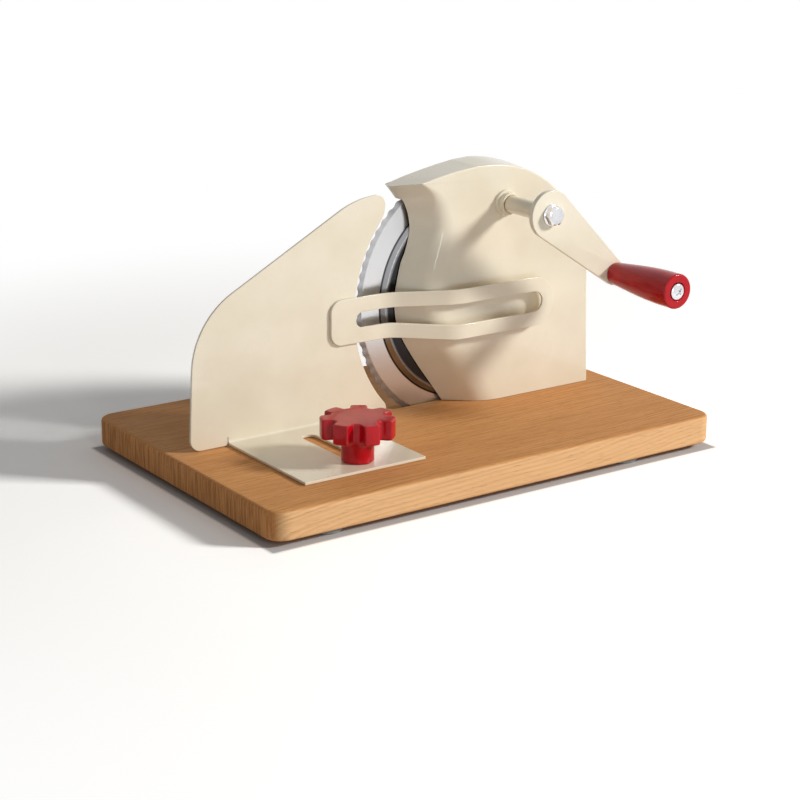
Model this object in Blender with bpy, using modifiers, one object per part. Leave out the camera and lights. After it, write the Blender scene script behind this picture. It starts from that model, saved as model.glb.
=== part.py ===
"""Hand-cranked bread slicer on a wooden board.

A cream housing carries a round scalloped blade. A crank on the housing's front turns it through a
pinion and a gear ring. A sheet-metal fence slides on the board, is clamped by a red star knob and
sets how thick the slices are. A slotted guard strip on the fence leads the slice past the blade.

Frame: +X along the board to the right, +Y away from the crank, +Z up. Z = 0 is the surface that the
rubber feet stand on, and the origin is the bottom centre of the whole slicer's box.
"""
import math

import bmesh
import bpy
from mathutils import Matrix, Vector

MM = 0.001

# Gaps
SEAT_GAP = 0.3 * MM          # between faces that touch on the real object
PRESS_GAP = 0.06 * MM        # round a pin or bush that is pressed in
RUN_GAP = 0.08 * MM          # round a shaft that turns
THREAD_GAP = 0.15 * MM       # round a screw in its thread
HOLE_ROOM = 0.4 * MM         # round a screw in its clearance hole

# Board
BOARD_LENGTH = 365 * MM
BOARD_WIDTH = 243 * MM
BOARD_THICKNESS = 20 * MM
BOARD_CORNER_RADIUS = 13 * MM
BOARD_EDGE_RADIUS = 2.4 * MM

# Feet and their screws
FOOT_HEIGHT = 4 * MM
FOOT_RADIUS = 11 * MM
FOOT_INSET_LEFT = 47 * MM
FOOT_INSET_RIGHT = 73 * MM
FOOT_INSET_SIDE = 15 * MM
FOOT_SCREW_RADIUS = 1.8 * MM
FOOT_SCREW_HEAD_RADIUS = 3.6 * MM
FOOT_SCREW_HEAD = 1.4 * MM
FOOT_SCREW_LENGTH = 13 * MM
FOOT_FLOOR = 1.6 * MM        # rubber left between the screw's head and the board

# Blade
BLADE_RADIUS = 95 * MM
BLADE_THICKNESS = 1.5 * MM
BLADE_X = 65.6 * MM
BLADE_ABOVE_DECK = 76 * MM
BLADE_BACK_Y = 19.5 * MM     # plane of the cutting edge
BEVEL_WIDTH = 4.2 * MM
EDGE_THICKNESS = 0.3 * MM
SCALLOPS = 72
SCALLOP_DEPTH = 1.1 * MM
BLADE_BAND = 19 * MM         # flat and bevelled ring outside the dish
DISH_DEPTH = 2.6 * MM
DISH_RAMP = 3.5 * MM

# Slot in the board for the blade
SLOT_END_ROOM = 10 * MM
SLOT_FRONT_ROOM = 1.4 * MM
SLOT_BACK_ROOM = 4.5 * MM

# Gear pair
GEAR_MODULE = 2 * MM
PINION_TEETH = 18
CRANK_INSET = 25 * MM        # from the blade's edge inwards to the crank's axis
PRESSURE_ANGLE = math.radians(20)
CENTRE_ROOM = 0.1 * MM
TOOTH_PLAY = 0.35 * MM
GEAR_THICKNESS = 5.8 * MM
GEAR_RIM = 7 * MM
GEAR_WEB = 3.2 * MM
GEAR_HUB_RADIUS = 15 * MM
GEAR_HUB_REACH = 2 * MM
GEAR_SPIGOT_RADIUS = 10.5 * MM
PINION_WIDTH = 5.8 * MM
RIVETS = 4
RIVET_INSET = 9.5 * MM       # from the gear's rim ring inwards to the rivets
RIVET_RADIUS = 2 * MM
RIVET_HEAD_RADIUS = 3.8 * MM

# Blade axle, its bush and the screw that keeps the blade on
AXLE_RADIUS = 6 * MM
AXLE_BUSH_WALL = 2 * MM
AXLE_FLANGE_RADIUS = 11 * MM
AXLE_FLANGE = 1 * MM
LOCK_SCREW_HEAD_RADIUS = 12 * MM
LOCK_SCREW_HEAD = 1.3 * MM
LOCK_SCREW_RADIUS = 3 * MM
LOCK_SCREW_LENGTH = 9 * MM
LOCK_SCREW_SLOT = 1.6 * MM
LOCK_WASHER = 0.5 * MM

# Housing
HOUSING_FRONT_Y = -5.4 * MM
HOUSING_WALL = 2.5 * MM
HOUSING_RIM_REACH = 3.6 * MM  # how far the rim stands behind the blade
HOUSING_FOOT_INSET = 2.7 * MM  # of the front's right foot, from the rim's
BLADE_ROOM = 1.2 * MM
SIDE_ROOM = 0.8 * MM
RIM_WALL = 2.2 * MM
EDGE_ROUNDING = 2.6 * MM
RIDGE_ROUNDING = 6 * MM
FOOT_ROUNDING = 11 * MM
CAVITY_LIMIT = 3.4 * MM       # ring left between the cavity and the blade's pocket
CAVITY_DROP = 12 * MM         # how far the cavity's outline is carried on below the deck

# Bosses in the housing
CRANK_OFFSET_X = 15.2 * MM
BOSS_RADIUS = 9.4 * MM
BOSS_RING_RADIUS = 7.9 * MM
BOSS_REACH = 7.2 * MM
BOSS_INNER_REACH = 7.9 * MM
AXLE_BOSS_RADIUS = 11 * MM
AXLE_BOSS_REACH = 8.3 * MM
AXLE_FLOOR = 2 * MM           # metal left in front of the axle's blind bore
POST_RADIUS = 5.5 * MM
POST_HEIGHT = 17 * MM
POST_LEFT_OFFSET = 10.4 * MM  # right of the blade's axis
POST_RIGHT_INSET = 12.3 * MM  # from the front's right foot
HOUSING_SCREW_RADIUS = 2.5 * MM
HOUSING_SCREW_BITE = 13 * MM
SCREW_HEAD_RADIUS = 4.7 * MM
SCREW_HEAD = 3 * MM
COUNTERBORE_RADIUS = 6.5 * MM
COUNTERBORE_DEPTH = 6 * MM
WASHER_RADIUS = 5.9 * MM
WASHER_THICKNESS = 1 * MM

# Crank
SHAFT_RADIUS = 5 * MM
CRANK_BUSH_WALL = 1.4 * MM
CRANK_BUSH_FLANGE_RADIUS = 8.6 * MM
CRANK_BUSH_FLANGE = 0.9 * MM
SLEEVE_WALL = 1.1 * MM
SHAFT_END_ROOM = 0.4 * MM
ARM_FRONT_Y = -58 * MM
ARM_THICKNESS = 4 * MM
ARM_LENGTH = 76.5 * MM
ARM_BIG_RADIUS = 17 * MM
ARM_SMALL_RADIUS = 8.8 * MM
ARM_ANGLE = math.radians(-39.5)
ARM_EDGE_ROUNDING = 0.6 * MM
TANG_SIDE = 7 * MM
CRANK_BOLT_RADIUS = 2.5 * MM
CRANK_BOLT_LENGTH = 16 * MM
CRANK_BOLT_FLANGE_RADIUS = 7.6 * MM
CRANK_BOLT_FLANGE = 1.3 * MM
CRANK_BOLT_HEX = 12.4 * MM
CRANK_BOLT_HEAD = 4.2 * MM
CIRCLIP_THICKNESS = 0.8 * MM
CIRCLIP_RADIUS = 7.4 * MM
CIRCLIP_GROOVE = 0.6 * MM
CIRCLIP_OPENING = math.radians(80)
KEY_SIDE = 3 * MM

# Handle
GRIP_LENGTH = 65 * MM
GRIP_BASE_RADIUS = 8 * MM
GRIP_END_RADIUS = 12.3 * MM
GRIP_RECESS = 1.8 * MM
GRIP_SLEEVE_RADIUS = 4.5 * MM
GRIP_SCREW_RADIUS = 3 * MM
GRIP_SCREW_HEAD_RADIUS = 5.7 * MM
GRIP_SCREW_HEAD = 2.6 * MM
GRIP_NUT_SIDE = 10 * MM
GRIP_NUT = 4.4 * MM

# Fence
FENCE_THICKNESS = 2 * MM
FENCE_FRONT_Y = 9.3 * MM
FENCE_BLADE_GAP = 7.5 * MM
FENCE_LEFT_X = -168 * MM
FENCE_TOP_LEFT = (-163.5 * MM, 88.7 * MM)
FENCE_TOP_MIDDLE_HEIGHT = 157 * MM
FENCE_TOP_RIGHT_HEIGHT = 158.8 * MM
FENCE_TOP_LENGTH = 26.7 * MM  # level stretch between the top's two right corners
FENCE_TOP_REACH = 6 * MM      # of the top's right corner past the arc's upper end
FENCE_TOP_ROUNDING = 70 * MM
FENCE_LEFT_ROUNDING = 60 * MM
FENCE_SHOULDER = 6 * MM
FENCE_ARC_TOP = 139 * MM
FENCE_ARC_BOTTOM = 10 * MM
FENCE_CORNER_RADIUS = 8 * MM
FLANGE_LEFT_X = -139.9 * MM
FLANGE_WIDTH = 94 * MM
FLANGE_FRONT_Y = -87.7 * MM
BEND_RADIUS = 2 * MM
BEND_RELIEF = 1 * MM
FENCE_SLOT_X = -86.5 * MM
FENCE_SLOT_WIDTH = 10.3 * MM
FENCE_SLOT_FAR_Y = -10.8 * MM
FENCE_SLOT_MARGIN = 5.2 * MM

# Guard strip, with its heights above the deck
GUARD_THICKNESS = 2 * MM
GUARD_OVERLAP = 20.6 * MM     # of the strip's left end and the fence's plate beside the arc
GUARD_END_X = 120.7 * MM
GUARD_FRONT_Y = -13.8 * MM
GUARD_TOP = 88.8 * MM
GUARD_LEFT_HEIGHT = 32.3 * MM
GUARD_RIGHT_HEIGHT = 36.2 * MM
GUARD_LEG = 10.6 * MM
GUARD_CORNER_RADIUS = 9 * MM
GUARD_BEND_RADIUS = 35 * MM
GUARD_RIVET_RADIUS = 2 * MM
GUARD_RIVET_SPACING = 16 * MM
GUARD_RIVET_INSET = 10 * MM

# Star knob and its clamp
KNOB_Y = -69 * MM
KNOB_HUB_RADIUS = 11.4 * MM
KNOB_HUB_HEIGHT = 17.5 * MM
KNOB_HEAD_HEIGHT = 12.8 * MM
KNOB_RADIUS = 25 * MM
KNOB_FLUTE_DEPTH = 9 * MM
KNOB_LOBES = 7
KNOB_FIRST_LOBE = math.radians(-102.8)
KNOB_EDGE_ROUNDING = 1.2 * MM
INSERT_WALL = 2.2 * MM
INSERT_LENGTH = 15 * MM
STUD_RADIUS = 4 * MM
STUD_HEAD_RADIUS = 9 * MM
STUD_HEAD = 3 * MM
STUD_RISE = 15 * MM           # how far the stud stands above the deck
SLIDE_KEY_LENGTH = 16 * MM
SLIDE_KEY_SINK = 1.5 * MM
SLIDE_KEY_PLAY = 0.2 * MM

# Levels and planes that follow from the sizes above
DECK_Z = FOOT_HEIGHT + BOARD_THICKNESS
BLADE_Z = DECK_Z + BLADE_ABOVE_DECK
DISH_RADIUS = BLADE_RADIUS - BLADE_BAND
BLADE_FRONT_Y = BLADE_BACK_Y - BLADE_THICKNESS
DISH_FRONT_Y = BLADE_FRONT_Y - DISH_DEPTH
DISH_BACK_Y = DISH_FRONT_Y + BLADE_THICKNESS
HOUSING_BACK_Y = BLADE_BACK_Y + HOUSING_RIM_REACH
POCKET_FRONT_Y = DISH_FRONT_Y - SIDE_ROOM
HOUSING_INNER_Y = HOUSING_FRONT_Y + HOUSING_WALL
POCKET_RADIUS = BLADE_RADIUS + BLADE_ROOM
RIM_RADIUS = POCKET_RADIUS + RIM_WALL
HOUSING_HEIGHT = BLADE_ABOVE_DECK + RIM_RADIUS
HOUSING_FOOT_RIGHT_X = BLADE_X + RIM_RADIUS - HOUSING_FOOT_INSET
POST_LEFT_X = BLADE_X + POST_LEFT_OFFSET
POST_RIGHT_X = HOUSING_FOOT_RIGHT_X - POST_RIGHT_INSET
GEAR_TEETH = 2 * round((BLADE_RADIUS - CRANK_INSET) / GEAR_MODULE) - PINION_TEETH
GEAR_ROOT_RADIUS = GEAR_MODULE * (GEAR_TEETH / 2 - 1.25)
GEAR_INNER_RADIUS = GEAR_ROOT_RADIUS - GEAR_RIM
RIVET_CIRCLE_RADIUS = GEAR_INNER_RADIUS - RIVET_INSET
GEAR_BACK_Y = DISH_FRONT_Y - SEAT_GAP
GEAR_FRONT_Y = GEAR_BACK_Y - GEAR_THICKNESS
GEAR_HUB_Y = GEAR_FRONT_Y - GEAR_HUB_REACH
CENTRE_DISTANCE = GEAR_MODULE * (GEAR_TEETH + PINION_TEETH) / 2 + CENTRE_ROOM
CRANK_X = BLADE_X + CRANK_OFFSET_X
CRANK_Z = BLADE_Z + math.sqrt(CENTRE_DISTANCE ** 2 - CRANK_OFFSET_X ** 2)
MESH_ANGLE = math.atan2(CRANK_Z - BLADE_Z, CRANK_OFFSET_X)
AXLE_BOSS_Y = HOUSING_INNER_Y + AXLE_BOSS_REACH
AXLE_FRONT_Y = HOUSING_FRONT_Y + AXLE_FLOOR + SEAT_GAP
AXLE_BACK_Y = DISH_BACK_Y - SEAT_GAP
AXLE_BUSH_RADIUS = AXLE_RADIUS + RUN_GAP + AXLE_BUSH_WALL
BOSS_FRONT_Y = HOUSING_FRONT_Y - BOSS_REACH
BOSS_BACK_Y = HOUSING_INNER_Y + BOSS_INNER_REACH
SHAFT_BACK_Y = DISH_FRONT_Y - SHAFT_END_ROOM
BACK_CLIP_Y = SHAFT_BACK_Y - 0.4 * MM - CIRCLIP_THICKNESS
PINION_BACK_Y = BACK_CLIP_Y - SEAT_GAP
PINION_FRONT_Y = PINION_BACK_Y - PINION_WIDTH
FRONT_CLIP_Y = BOSS_BACK_Y + CRANK_BUSH_FLANGE + 2 * SEAT_GAP
CRANK_BUSH_RADIUS = SHAFT_RADIUS + RUN_GAP + CRANK_BUSH_WALL
ARM_BACK_Y = ARM_FRONT_Y + ARM_THICKNESS
SLEEVE_RADIUS = SHAFT_RADIUS + PRESS_GAP + SLEEVE_WALL
GRIP_BACK_Y = ARM_FRONT_Y - SEAT_GAP
GRIP_FRONT_Y = GRIP_BACK_Y - GRIP_LENGTH
GRIP_SLEEVE_FRONT_Y = GRIP_FRONT_Y + GRIP_RECESS - SEAT_GAP
GRIP_HEAD_Y = GRIP_SLEEVE_FRONT_Y - SEAT_GAP
FENCE_BACK_Y = FENCE_FRONT_Y + FENCE_THICKNESS
FENCE_BOTTOM_Z = DECK_Z + SEAT_GAP
FENCE_ARC_RADIUS = BLADE_RADIUS + FENCE_BLADE_GAP
GUARD_LEFT_X = BLADE_X - FENCE_ARC_RADIUS - GUARD_OVERLAP
GUARD_LEFT_Y = FENCE_FRONT_Y - SEAT_GAP - GUARD_THICKNESS
KNOB_BOTTOM_Z = FENCE_BOTTOM_Z + FENCE_THICKNESS + SEAT_GAP
FRONT_REACH = max(BOARD_WIDTH / 2, GRIP_SCREW_HEAD - GRIP_HEAD_Y)
CENTRE_SHIFT = (FRONT_REACH - BOARD_WIDTH / 2) / 2

# The rim's radius, the housing's height and the blade's axis that the next lists are drawn for
DRAWN_RIM = 98.4 * MM
DRAWN_HEIGHT = 174.4 * MM
DRAWN_BLADE_X = 65.6 * MM
# The housing's outline above the deck, as (x, height) in millimetres, from the left foot up to the
# beak. The first list is its open back edge beside the blade, the second the ridge of its front.
BACK_LEFT_MM = [(41.2, 0), (30.9, 14.4), (19.0, 30.6), (7.0, 49.4), (1.6, 62.3), (-0.4, 73.4),
                (-0.1, 85.0), (4.3, 104.8), (8.7, 114.9), (12.0, 128.0), (11.2, 138.1),
                (8.0, 147.2), (3.5, 153.9), (-3.0, 161.7)]
FRONT_LEFT_MM = [(65.5, 0), (56.5, 13.5), (43.0, 31.0), (31.5, 47.6), (24.6, 62.0), (20.6, 76.0),
                 (19.4, 89.5), (20.6, 104.5), (23.8, 117.2), (27.7, 130.0), (26.3, 141.0),
                 (22.8, 150.5), (17.5, 158.0), (8.5, 165.2)]
# From the beak along the top to where the outline turns about the blade's axis
BACK_TOP_MM = [(-3.0, 161.7), (12.9, 166.0), (34.6, 170.4), (54.0, 173.6)]
FRONT_TOP_MM = [(8.5, 165.2), (24.0, 168.4), (39.0, 170.8), (56.0, 172.6)]
# The front's round stretch is lower than the back's by this much at the top and at the side
FRONT_TOP_STEP = 1.9 * MM
FRONT_SIDE_STEP = 5.6 * MM


def beside_blade(x):
    """Where a place along X lies, drawn beside the drawn rim, for the rim's real radius."""
    return BLADE_X + (x - DRAWN_BLADE_X) * RIM_RADIUS / DRAWN_RIM


def above_deck(height):
    """The level of a height above the deck, drawn for the drawn housing's height."""
    return DECK_Z + height * HOUSING_HEIGHT / DRAWN_HEIGHT


# The guard strip's two bends, which pass the housing's ridge
GUARD_BEND_LEFT_X = beside_blade(-9.8 * MM)
GUARD_BEND_RIGHT_X = beside_blade(34.3 * MM)

# Local Z turned to +Y, and a flat outline stood up in the XZ plane
ALONG_Y = Matrix.Rotation(math.radians(-90), 4, "X")
UPRIGHT = Matrix.Rotation(math.radians(90), 4, "X")


def clear_scene():
    """Take every object out of the scene."""
    for obj in list(bpy.data.objects):
        bpy.data.objects.remove(obj, do_unlink=True)


def make_collection(name):
    """Make a collection in the scene."""
    found = bpy.data.collections.new(name)
    bpy.context.scene.collection.children.link(found)
    return found


def paint(name, colour, roughness, metallic=0.0):
    """Make a Principled material."""
    made = bpy.data.materials.new(name)
    made.use_nodes = True
    shader = made.node_tree.nodes["Principled BSDF"]
    shader.inputs["Base Color"].default_value = (*colour, 1.0)
    shader.inputs["Roughness"].default_value = roughness
    shader.inputs["Metallic"].default_value = metallic
    return made


clear_scene()
SLICER = make_collection("bread_slicer")
CUTTERS = make_collection("cutters")
CREAM = ((0.76, 0.69, 0.54), 0.35)
RED = ((0.50, 0.01, 0.02), 0.2)
STEEL = ((0.62, 0.62, 0.63), 0.3, 1.0)
CHROME = ((0.80, 0.80, 0.81), 0.08, 1.0)
BRASS = ((0.72, 0.52, 0.22), 0.3, 1.0)
NYLON = ((0.10, 0.10, 0.10), 0.5)


def make_joint(name, place, parent=None):
    """Make an empty that stands on a joint's axis and carries what moves there."""
    empty = bpy.data.objects.new(name, None)
    empty.location = place
    empty.parent = parent
    empty.empty_display_size = 0.02
    SLICER.objects.link(empty)
    return empty


def add_piece(name, mesh, finish, parent, place=(0, 0, 0), turn=Matrix()):
    """Add a named piece with its own material; sharp edges stay sharp."""
    piece = bpy.data.objects.new(name, mesh)
    mesh.name = name
    mesh.materials.clear()
    mesh.materials.append(paint(name, *finish))
    mesh.shade_smooth()
    mesh.set_sharp_from_angle(angle=math.radians(30))
    piece.parent = parent
    piece.matrix_basis = Matrix.Translation(place) @ turn
    SLICER.objects.link(piece)
    return piece


def add_copies(name, mesh, finish, parent, turns):
    """Add several like pieces that share one mesh, each at its own matrix."""
    for number, turn in enumerate(turns, 1):
        if number == 1:
            first = add_piece(f"{name}_1", mesh, finish, parent, turn=turn)
            continue
        piece = bpy.data.objects.new(f"{name}_{number}", first.data)
        piece.parent = parent
        piece.matrix_basis = turn
        SLICER.objects.link(piece)


def add_tool(name, mesh, parent, place=(0, 0, 0), turn=Matrix()):
    """Add a cutter, or a lump to be joined on; it isn't part of the model."""
    tool = bpy.data.objects.new(name, mesh)
    tool.parent = parent
    tool.matrix_basis = Matrix.Translation(place) @ turn
    tool.hide_render = True
    tool.display_type = "WIRE"
    CUTTERS.objects.link(tool)
    return tool


def combine(piece, tool, operation):
    """Cut, join or intersect a piece with a tool, as a Boolean modifier."""
    step = piece.modifiers.new(tool.name, "BOOLEAN")
    step.object = tool
    step.operation = operation
    step.solver = "EXACT"


def round_edges(piece, width, segments=2, angle=40):
    """Round a piece's sharp edges."""
    bevel = piece.modifiers.new("rounding", "BEVEL")
    bevel.width = width
    bevel.segments = segments
    bevel.limit_method = "ANGLE"
    bevel.angle_limit = math.radians(angle)


def bake(obj, fans=False):
    """Return an object's evaluated mesh and remove the object.

    Its vertices are welded. With fans, the fan of triangles that caps a turned shape becomes
    one face.
    """
    bpy.context.view_layer.update()
    graph = bpy.context.evaluated_depsgraph_get()
    mesh = bpy.data.meshes.new_from_object(obj.evaluated_get(graph))
    shape = bmesh.new()
    shape.from_mesh(mesh)
    bmesh.ops.remove_doubles(shape, verts=shape.verts, dist=1e-6)
    if fans:
        hubs = [vertex for vertex in shape.verts if len(vertex.link_edges) > 8]
        bmesh.ops.dissolve_verts(shape, verts=hubs)
    shape.to_mesh(mesh)
    shape.free()
    bpy.data.objects.remove(obj, do_unlink=True)
    return mesh


def turned(profile, steps=32):
    """Turn a profile of (radius, height) about Z.

    The profile runs down the outer side from the top. One that starts and ends off the axis is
    closed up its inner side, which leaves a bore.
    """
    hollow = profile[0][0] > 0 and profile[-1][0] > 0
    count = len(profile)
    edges = [(i, i + 1) for i in range(count - 1)]
    if hollow:
        edges.append((count - 1, 0))
    mesh = bpy.data.meshes.new("profile")
    mesh.from_pydata([(radius, 0, height) for radius, height in profile], edges, [])
    obj = bpy.data.objects.new("profile", mesh)
    bpy.context.scene.collection.objects.link(obj)
    screw = obj.modifiers.new("turn", "SCREW")
    screw.axis = "Z"
    screw.steps = steps
    screw.render_steps = steps
    screw.use_merge_vertices = True
    screw.merge_threshold = 1e-6
    return bake(obj, fans=True)


def rod(radius, low, high, steps=32):
    """A plain cylinder about Z."""
    return turned([(0, high), (radius, high), (radius, low), (0, low)], steps)


def tube(inner, outer, low, high, steps=32):
    """A plain tube about Z."""
    return turned([(outer, high), (outer, low), (inner, low), (inner, high)], steps)


def box(size, centre=(0, 0, 0)):
    """A box of a given size about a centre."""
    shape = bmesh.new()
    bmesh.ops.create_cube(shape, size=1.0)
    bmesh.ops.scale(shape, vec=size, verts=shape.verts)
    bmesh.ops.translate(shape, vec=centre, verts=shape.verts)
    mesh = bpy.data.meshes.new("box")
    shape.to_mesh(mesh)
    shape.free()
    return mesh


def plate(outlines, thickness):
    """A flat plate about local Z = 0, from its outline and the outlines of its holes."""
    curve = bpy.data.curves.new("outline", "CURVE")
    curve.dimensions = "2D"
    curve.fill_mode = "BOTH"
    curve.extrude = thickness / 2
    for outline in outlines:
        spline = curve.splines.new("POLY")
        spline.points.add(len(outline) - 1)
        for point, (x, y) in zip(spline.points, outline):
            point.co = (x, y, 0, 1)
        spline.use_cyclic_u = True
    obj = bpy.data.objects.new("outline", curve)
    bpy.context.scene.collection.objects.link(obj)
    return bake(obj)


def copies(mesh, turns):
    """One mesh that holds a copy of the given mesh at each matrix, as separate solids."""
    shape = bmesh.new()
    for turn in turns:
        before = len(shape.verts)
        shape.from_mesh(mesh)
        shape.verts.ensure_lookup_table()
        bmesh.ops.transform(shape, matrix=turn, verts=shape.verts[before:])
    made = bpy.data.meshes.new("copies")
    shape.to_mesh(made)
    shape.free()
    return made


def arc(centre, radius, start, end, steps):
    """Points along an arc, both ends included."""
    angles = [start + (end - start) * i / steps for i in range(steps + 1)]
    return [(centre[0] + radius * math.cos(a), centre[1] + radius * math.sin(a)) for a in angles]


def circle(centre, radius, steps=24):
    """Points round a circle."""
    return arc(centre, radius, 0, 2 * math.pi, steps)[:-1]


def rounded(corners, steps=5):
    """An outline through corners given as (x, y, radius), with each corner rounded."""
    outline = []
    for i, (x, y, radius) in enumerate(corners):
        here = Vector((x, y))
        to_last = (Vector(corners[i - 1][:2]) - here).normalized()
        to_next = (Vector(corners[(i + 1) % len(corners)][:2]) - here).normalized()
        half = to_last.angle(to_next) / 2
        if radius == 0:
            outline.append((x, y))
            continue
        middle = here + (to_last + to_next).normalized() * radius / math.sin(half)
        start = here + to_last * radius / math.tan(half) - middle
        end = here + to_next * radius / math.tan(half) - middle
        turn = start.angle_signed(end)
        for step in range(steps + 1):
            spoke = Matrix.Rotation(-turn * step / steps, 2) @ start
            outline.append(tuple(middle + spoke))
    return outline


def long_slot(left, right, low, high, steps=8):
    """An outline with straight sides and half-round ends, along X."""
    radius = (high - low) / 2
    middle = (high + low) / 2
    quarter = math.pi / 2
    return (arc((right - radius, middle), radius, -quarter, quarter, steps)
            + arc((left + radius, middle), radius, quarter, 3 * quarter, steps))


def hexagon(side_to_side):
    """A hexagon by its size across the flats."""
    return circle((0, 0), side_to_side / math.sqrt(3), 6)


def smooth_through(points, steps):
    """A smooth open curve through points, with the same number of steps between each pair."""
    ends = [points[0]] + list(points) + [points[-1]]
    curve = []
    for i in range(1, len(ends) - 2):
        before, start, end, after = (Vector(p) for p in ends[i - 1:i + 3])
        for step in range(steps):
            t = step / steps
            curve.append(tuple(0.5 * (2 * start + (end - before) * t
                                      + (2 * before - 5 * start + 4 * end - after) * t ** 2
                                      + (3 * start - before - 3 * end + after) * t ** 3)))
    curve.append(tuple(points[-1]))
    return curve


def ring_stack(rings):
    """A closed solid through rings of equally many points, with its two end faces."""
    shape = bmesh.new()
    rows = [[shape.verts.new(point) for point in ring] for ring in rings]
    for last, here in zip(rows, rows[1:]):
        for i in range(len(here)):
            j = (i + 1) % len(here)
            shape.faces.new((last[i], last[j], here[j], here[i]))
    bmesh.ops.triangulate(shape, faces=shape.faces)
    shape.faces.new(list(reversed(rows[0])))
    shape.faces.new(rows[-1])
    bmesh.ops.remove_doubles(shape, verts=shape.verts, dist=1e-6)
    bmesh.ops.recalc_face_normals(shape, faces=shape.faces)
    mesh = bpy.data.meshes.new("stack")
    shape.to_mesh(mesh)
    shape.free()
    return mesh


def gear_outline(teeth, turn):
    """A spur gear's outline with involute flanks; a tooth's middle lies at the angle turn."""
    pitch = GEAR_MODULE * teeth / 2
    base = pitch * math.cos(PRESSURE_ANGLE)
    tip = pitch + GEAR_MODULE
    root = GEAR_MODULE * (teeth / 2 - 1.25)
    start = max(base, root + 0.1 * MM)
    half = (math.pi * GEAR_MODULE / 2 - TOOTH_PLAY) / 2 / pitch

    def involute(radius):
        """Angle that an involute has turned at a radius."""
        slope = math.sqrt(max(0, (radius / base) ** 2 - 1))
        return slope - math.atan(slope)

    radii = [start, start + (tip - start) * 0.5, tip]
    offsets = [half + involute(pitch) - involute(radius) for radius in radii]
    flank = [(root, offsets[0])] + list(zip(radii, offsets))[1:]
    points = []
    for tooth in range(teeth):
        middle = turn + 2 * math.pi * tooth / teeth
        for radius, offset in flank:
            points.append((radius * math.cos(middle - offset), radius * math.sin(middle - offset)))
        for radius, offset in reversed(flank):
            points.append((radius * math.cos(middle + offset), radius * math.sin(middle + offset)))
    return points


# Board


def foot_places():
    """Where the four feet stand."""
    left = -BOARD_LENGTH / 2 + FOOT_INSET_LEFT
    right = BOARD_LENGTH / 2 - FOOT_INSET_RIGHT
    side = BOARD_WIDTH / 2 - FOOT_INSET_SIDE
    return [(x, y) for x in (left, right) for y in (-side, side)]


def housing_screw_places():
    """Where the screws that hold the housing come up through the board."""
    post_y = HOUSING_INNER_Y + POST_RADIUS - MM
    rear_y = (POCKET_FRONT_Y + HOUSING_BACK_Y) / 2
    return [(POST_LEFT_X, post_y), (POST_RIGHT_X, post_y), (POST_RIGHT_X, rear_y)]


def blade_slot():
    """The board's through slot for the blade, as (left, right, front, back)."""
    half = math.sqrt(BLADE_RADIUS ** 2 - BLADE_ABOVE_DECK ** 2) + SLOT_END_ROOM
    return (BLADE_X - half, BLADE_X + half,
            BLADE_FRONT_Y - SLOT_FRONT_ROOM, BLADE_BACK_Y + SLOT_BACK_ROOM)


def add_board(root):
    """The wooden board, with its slot, screw holes and the pocket of the slide key."""
    half_x, half_y, corner = BOARD_LENGTH / 2, BOARD_WIDTH / 2, BOARD_CORNER_RADIUS
    outline = rounded([(half_x, -half_y, corner), (half_x, half_y, corner),
                       (-half_x, half_y, corner), (-half_x, -half_y, corner)], 5)
    board = add_piece("base_board", plate([outline], BOARD_THICKNESS), ((0.56, 0.31, 0.13), 0.4),
                      root, (0, 0, FOOT_HEIGHT + BOARD_THICKNESS / 2))
    round_edges(board, BOARD_EDGE_RADIUS, 2)
    slot = plate([long_slot(*blade_slot(), 6)], 2 * BOARD_THICKNESS)
    combine(board, add_tool("blade_slot", slot, root, (0, 0, DECK_Z)), "DIFFERENCE")
    pilot = rod(FOOT_SCREW_RADIUS + THREAD_GAP, -MM, FOOT_SCREW_LENGTH - FOOT_FLOOR, 12)
    pilots = copies(pilot, [Matrix.Translation((x, y, 0)) for x, y in foot_places()])
    combine(board, add_tool("foot_holes", pilots, root, (0, 0, FOOT_HEIGHT)), "DIFFERENCE")
    bore = HOUSING_SCREW_RADIUS + HOLE_ROOM
    through = turned([(0, BOARD_THICKNESS + MM), (bore, BOARD_THICKNESS + MM),
                      (bore, COUNTERBORE_DEPTH), (COUNTERBORE_RADIUS, COUNTERBORE_DEPTH),
                      (COUNTERBORE_RADIUS, -MM), (0, -MM)], 20)
    throughs = copies(through, [Matrix.Translation((x, y, 0)) for x, y in housing_screw_places()])
    combine(board, add_tool("screw_holes", throughs, root, (0, 0, FOOT_HEIGHT)), "DIFFERENCE")
    bore = STUD_RADIUS + PRESS_GAP
    head = STUD_HEAD_RADIUS + HOLE_ROOM
    stud_hole = turned([(0, BOARD_THICKNESS + MM), (bore, BOARD_THICKNESS + MM),
                        (bore, STUD_HEAD + 2 * SEAT_GAP), (head, STUD_HEAD + 2 * SEAT_GAP),
                        (head, -MM), (0, -MM)], 24)
    combine(board, add_tool("stud_hole", stud_hole, root, (FENCE_SLOT_X, KNOB_Y, FOOT_HEIGHT)),
            "DIFFERENCE")
    width, length = slide_key_size()
    pocket = box((width + 2 * SEAT_GAP, length + 2 * SEAT_GAP, 2 * (SLIDE_KEY_SINK + SEAT_GAP)))
    combine(board, add_tool("key_pocket", pocket, root, (FENCE_SLOT_X, KNOB_Y, DECK_Z)),
            "DIFFERENCE")


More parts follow.
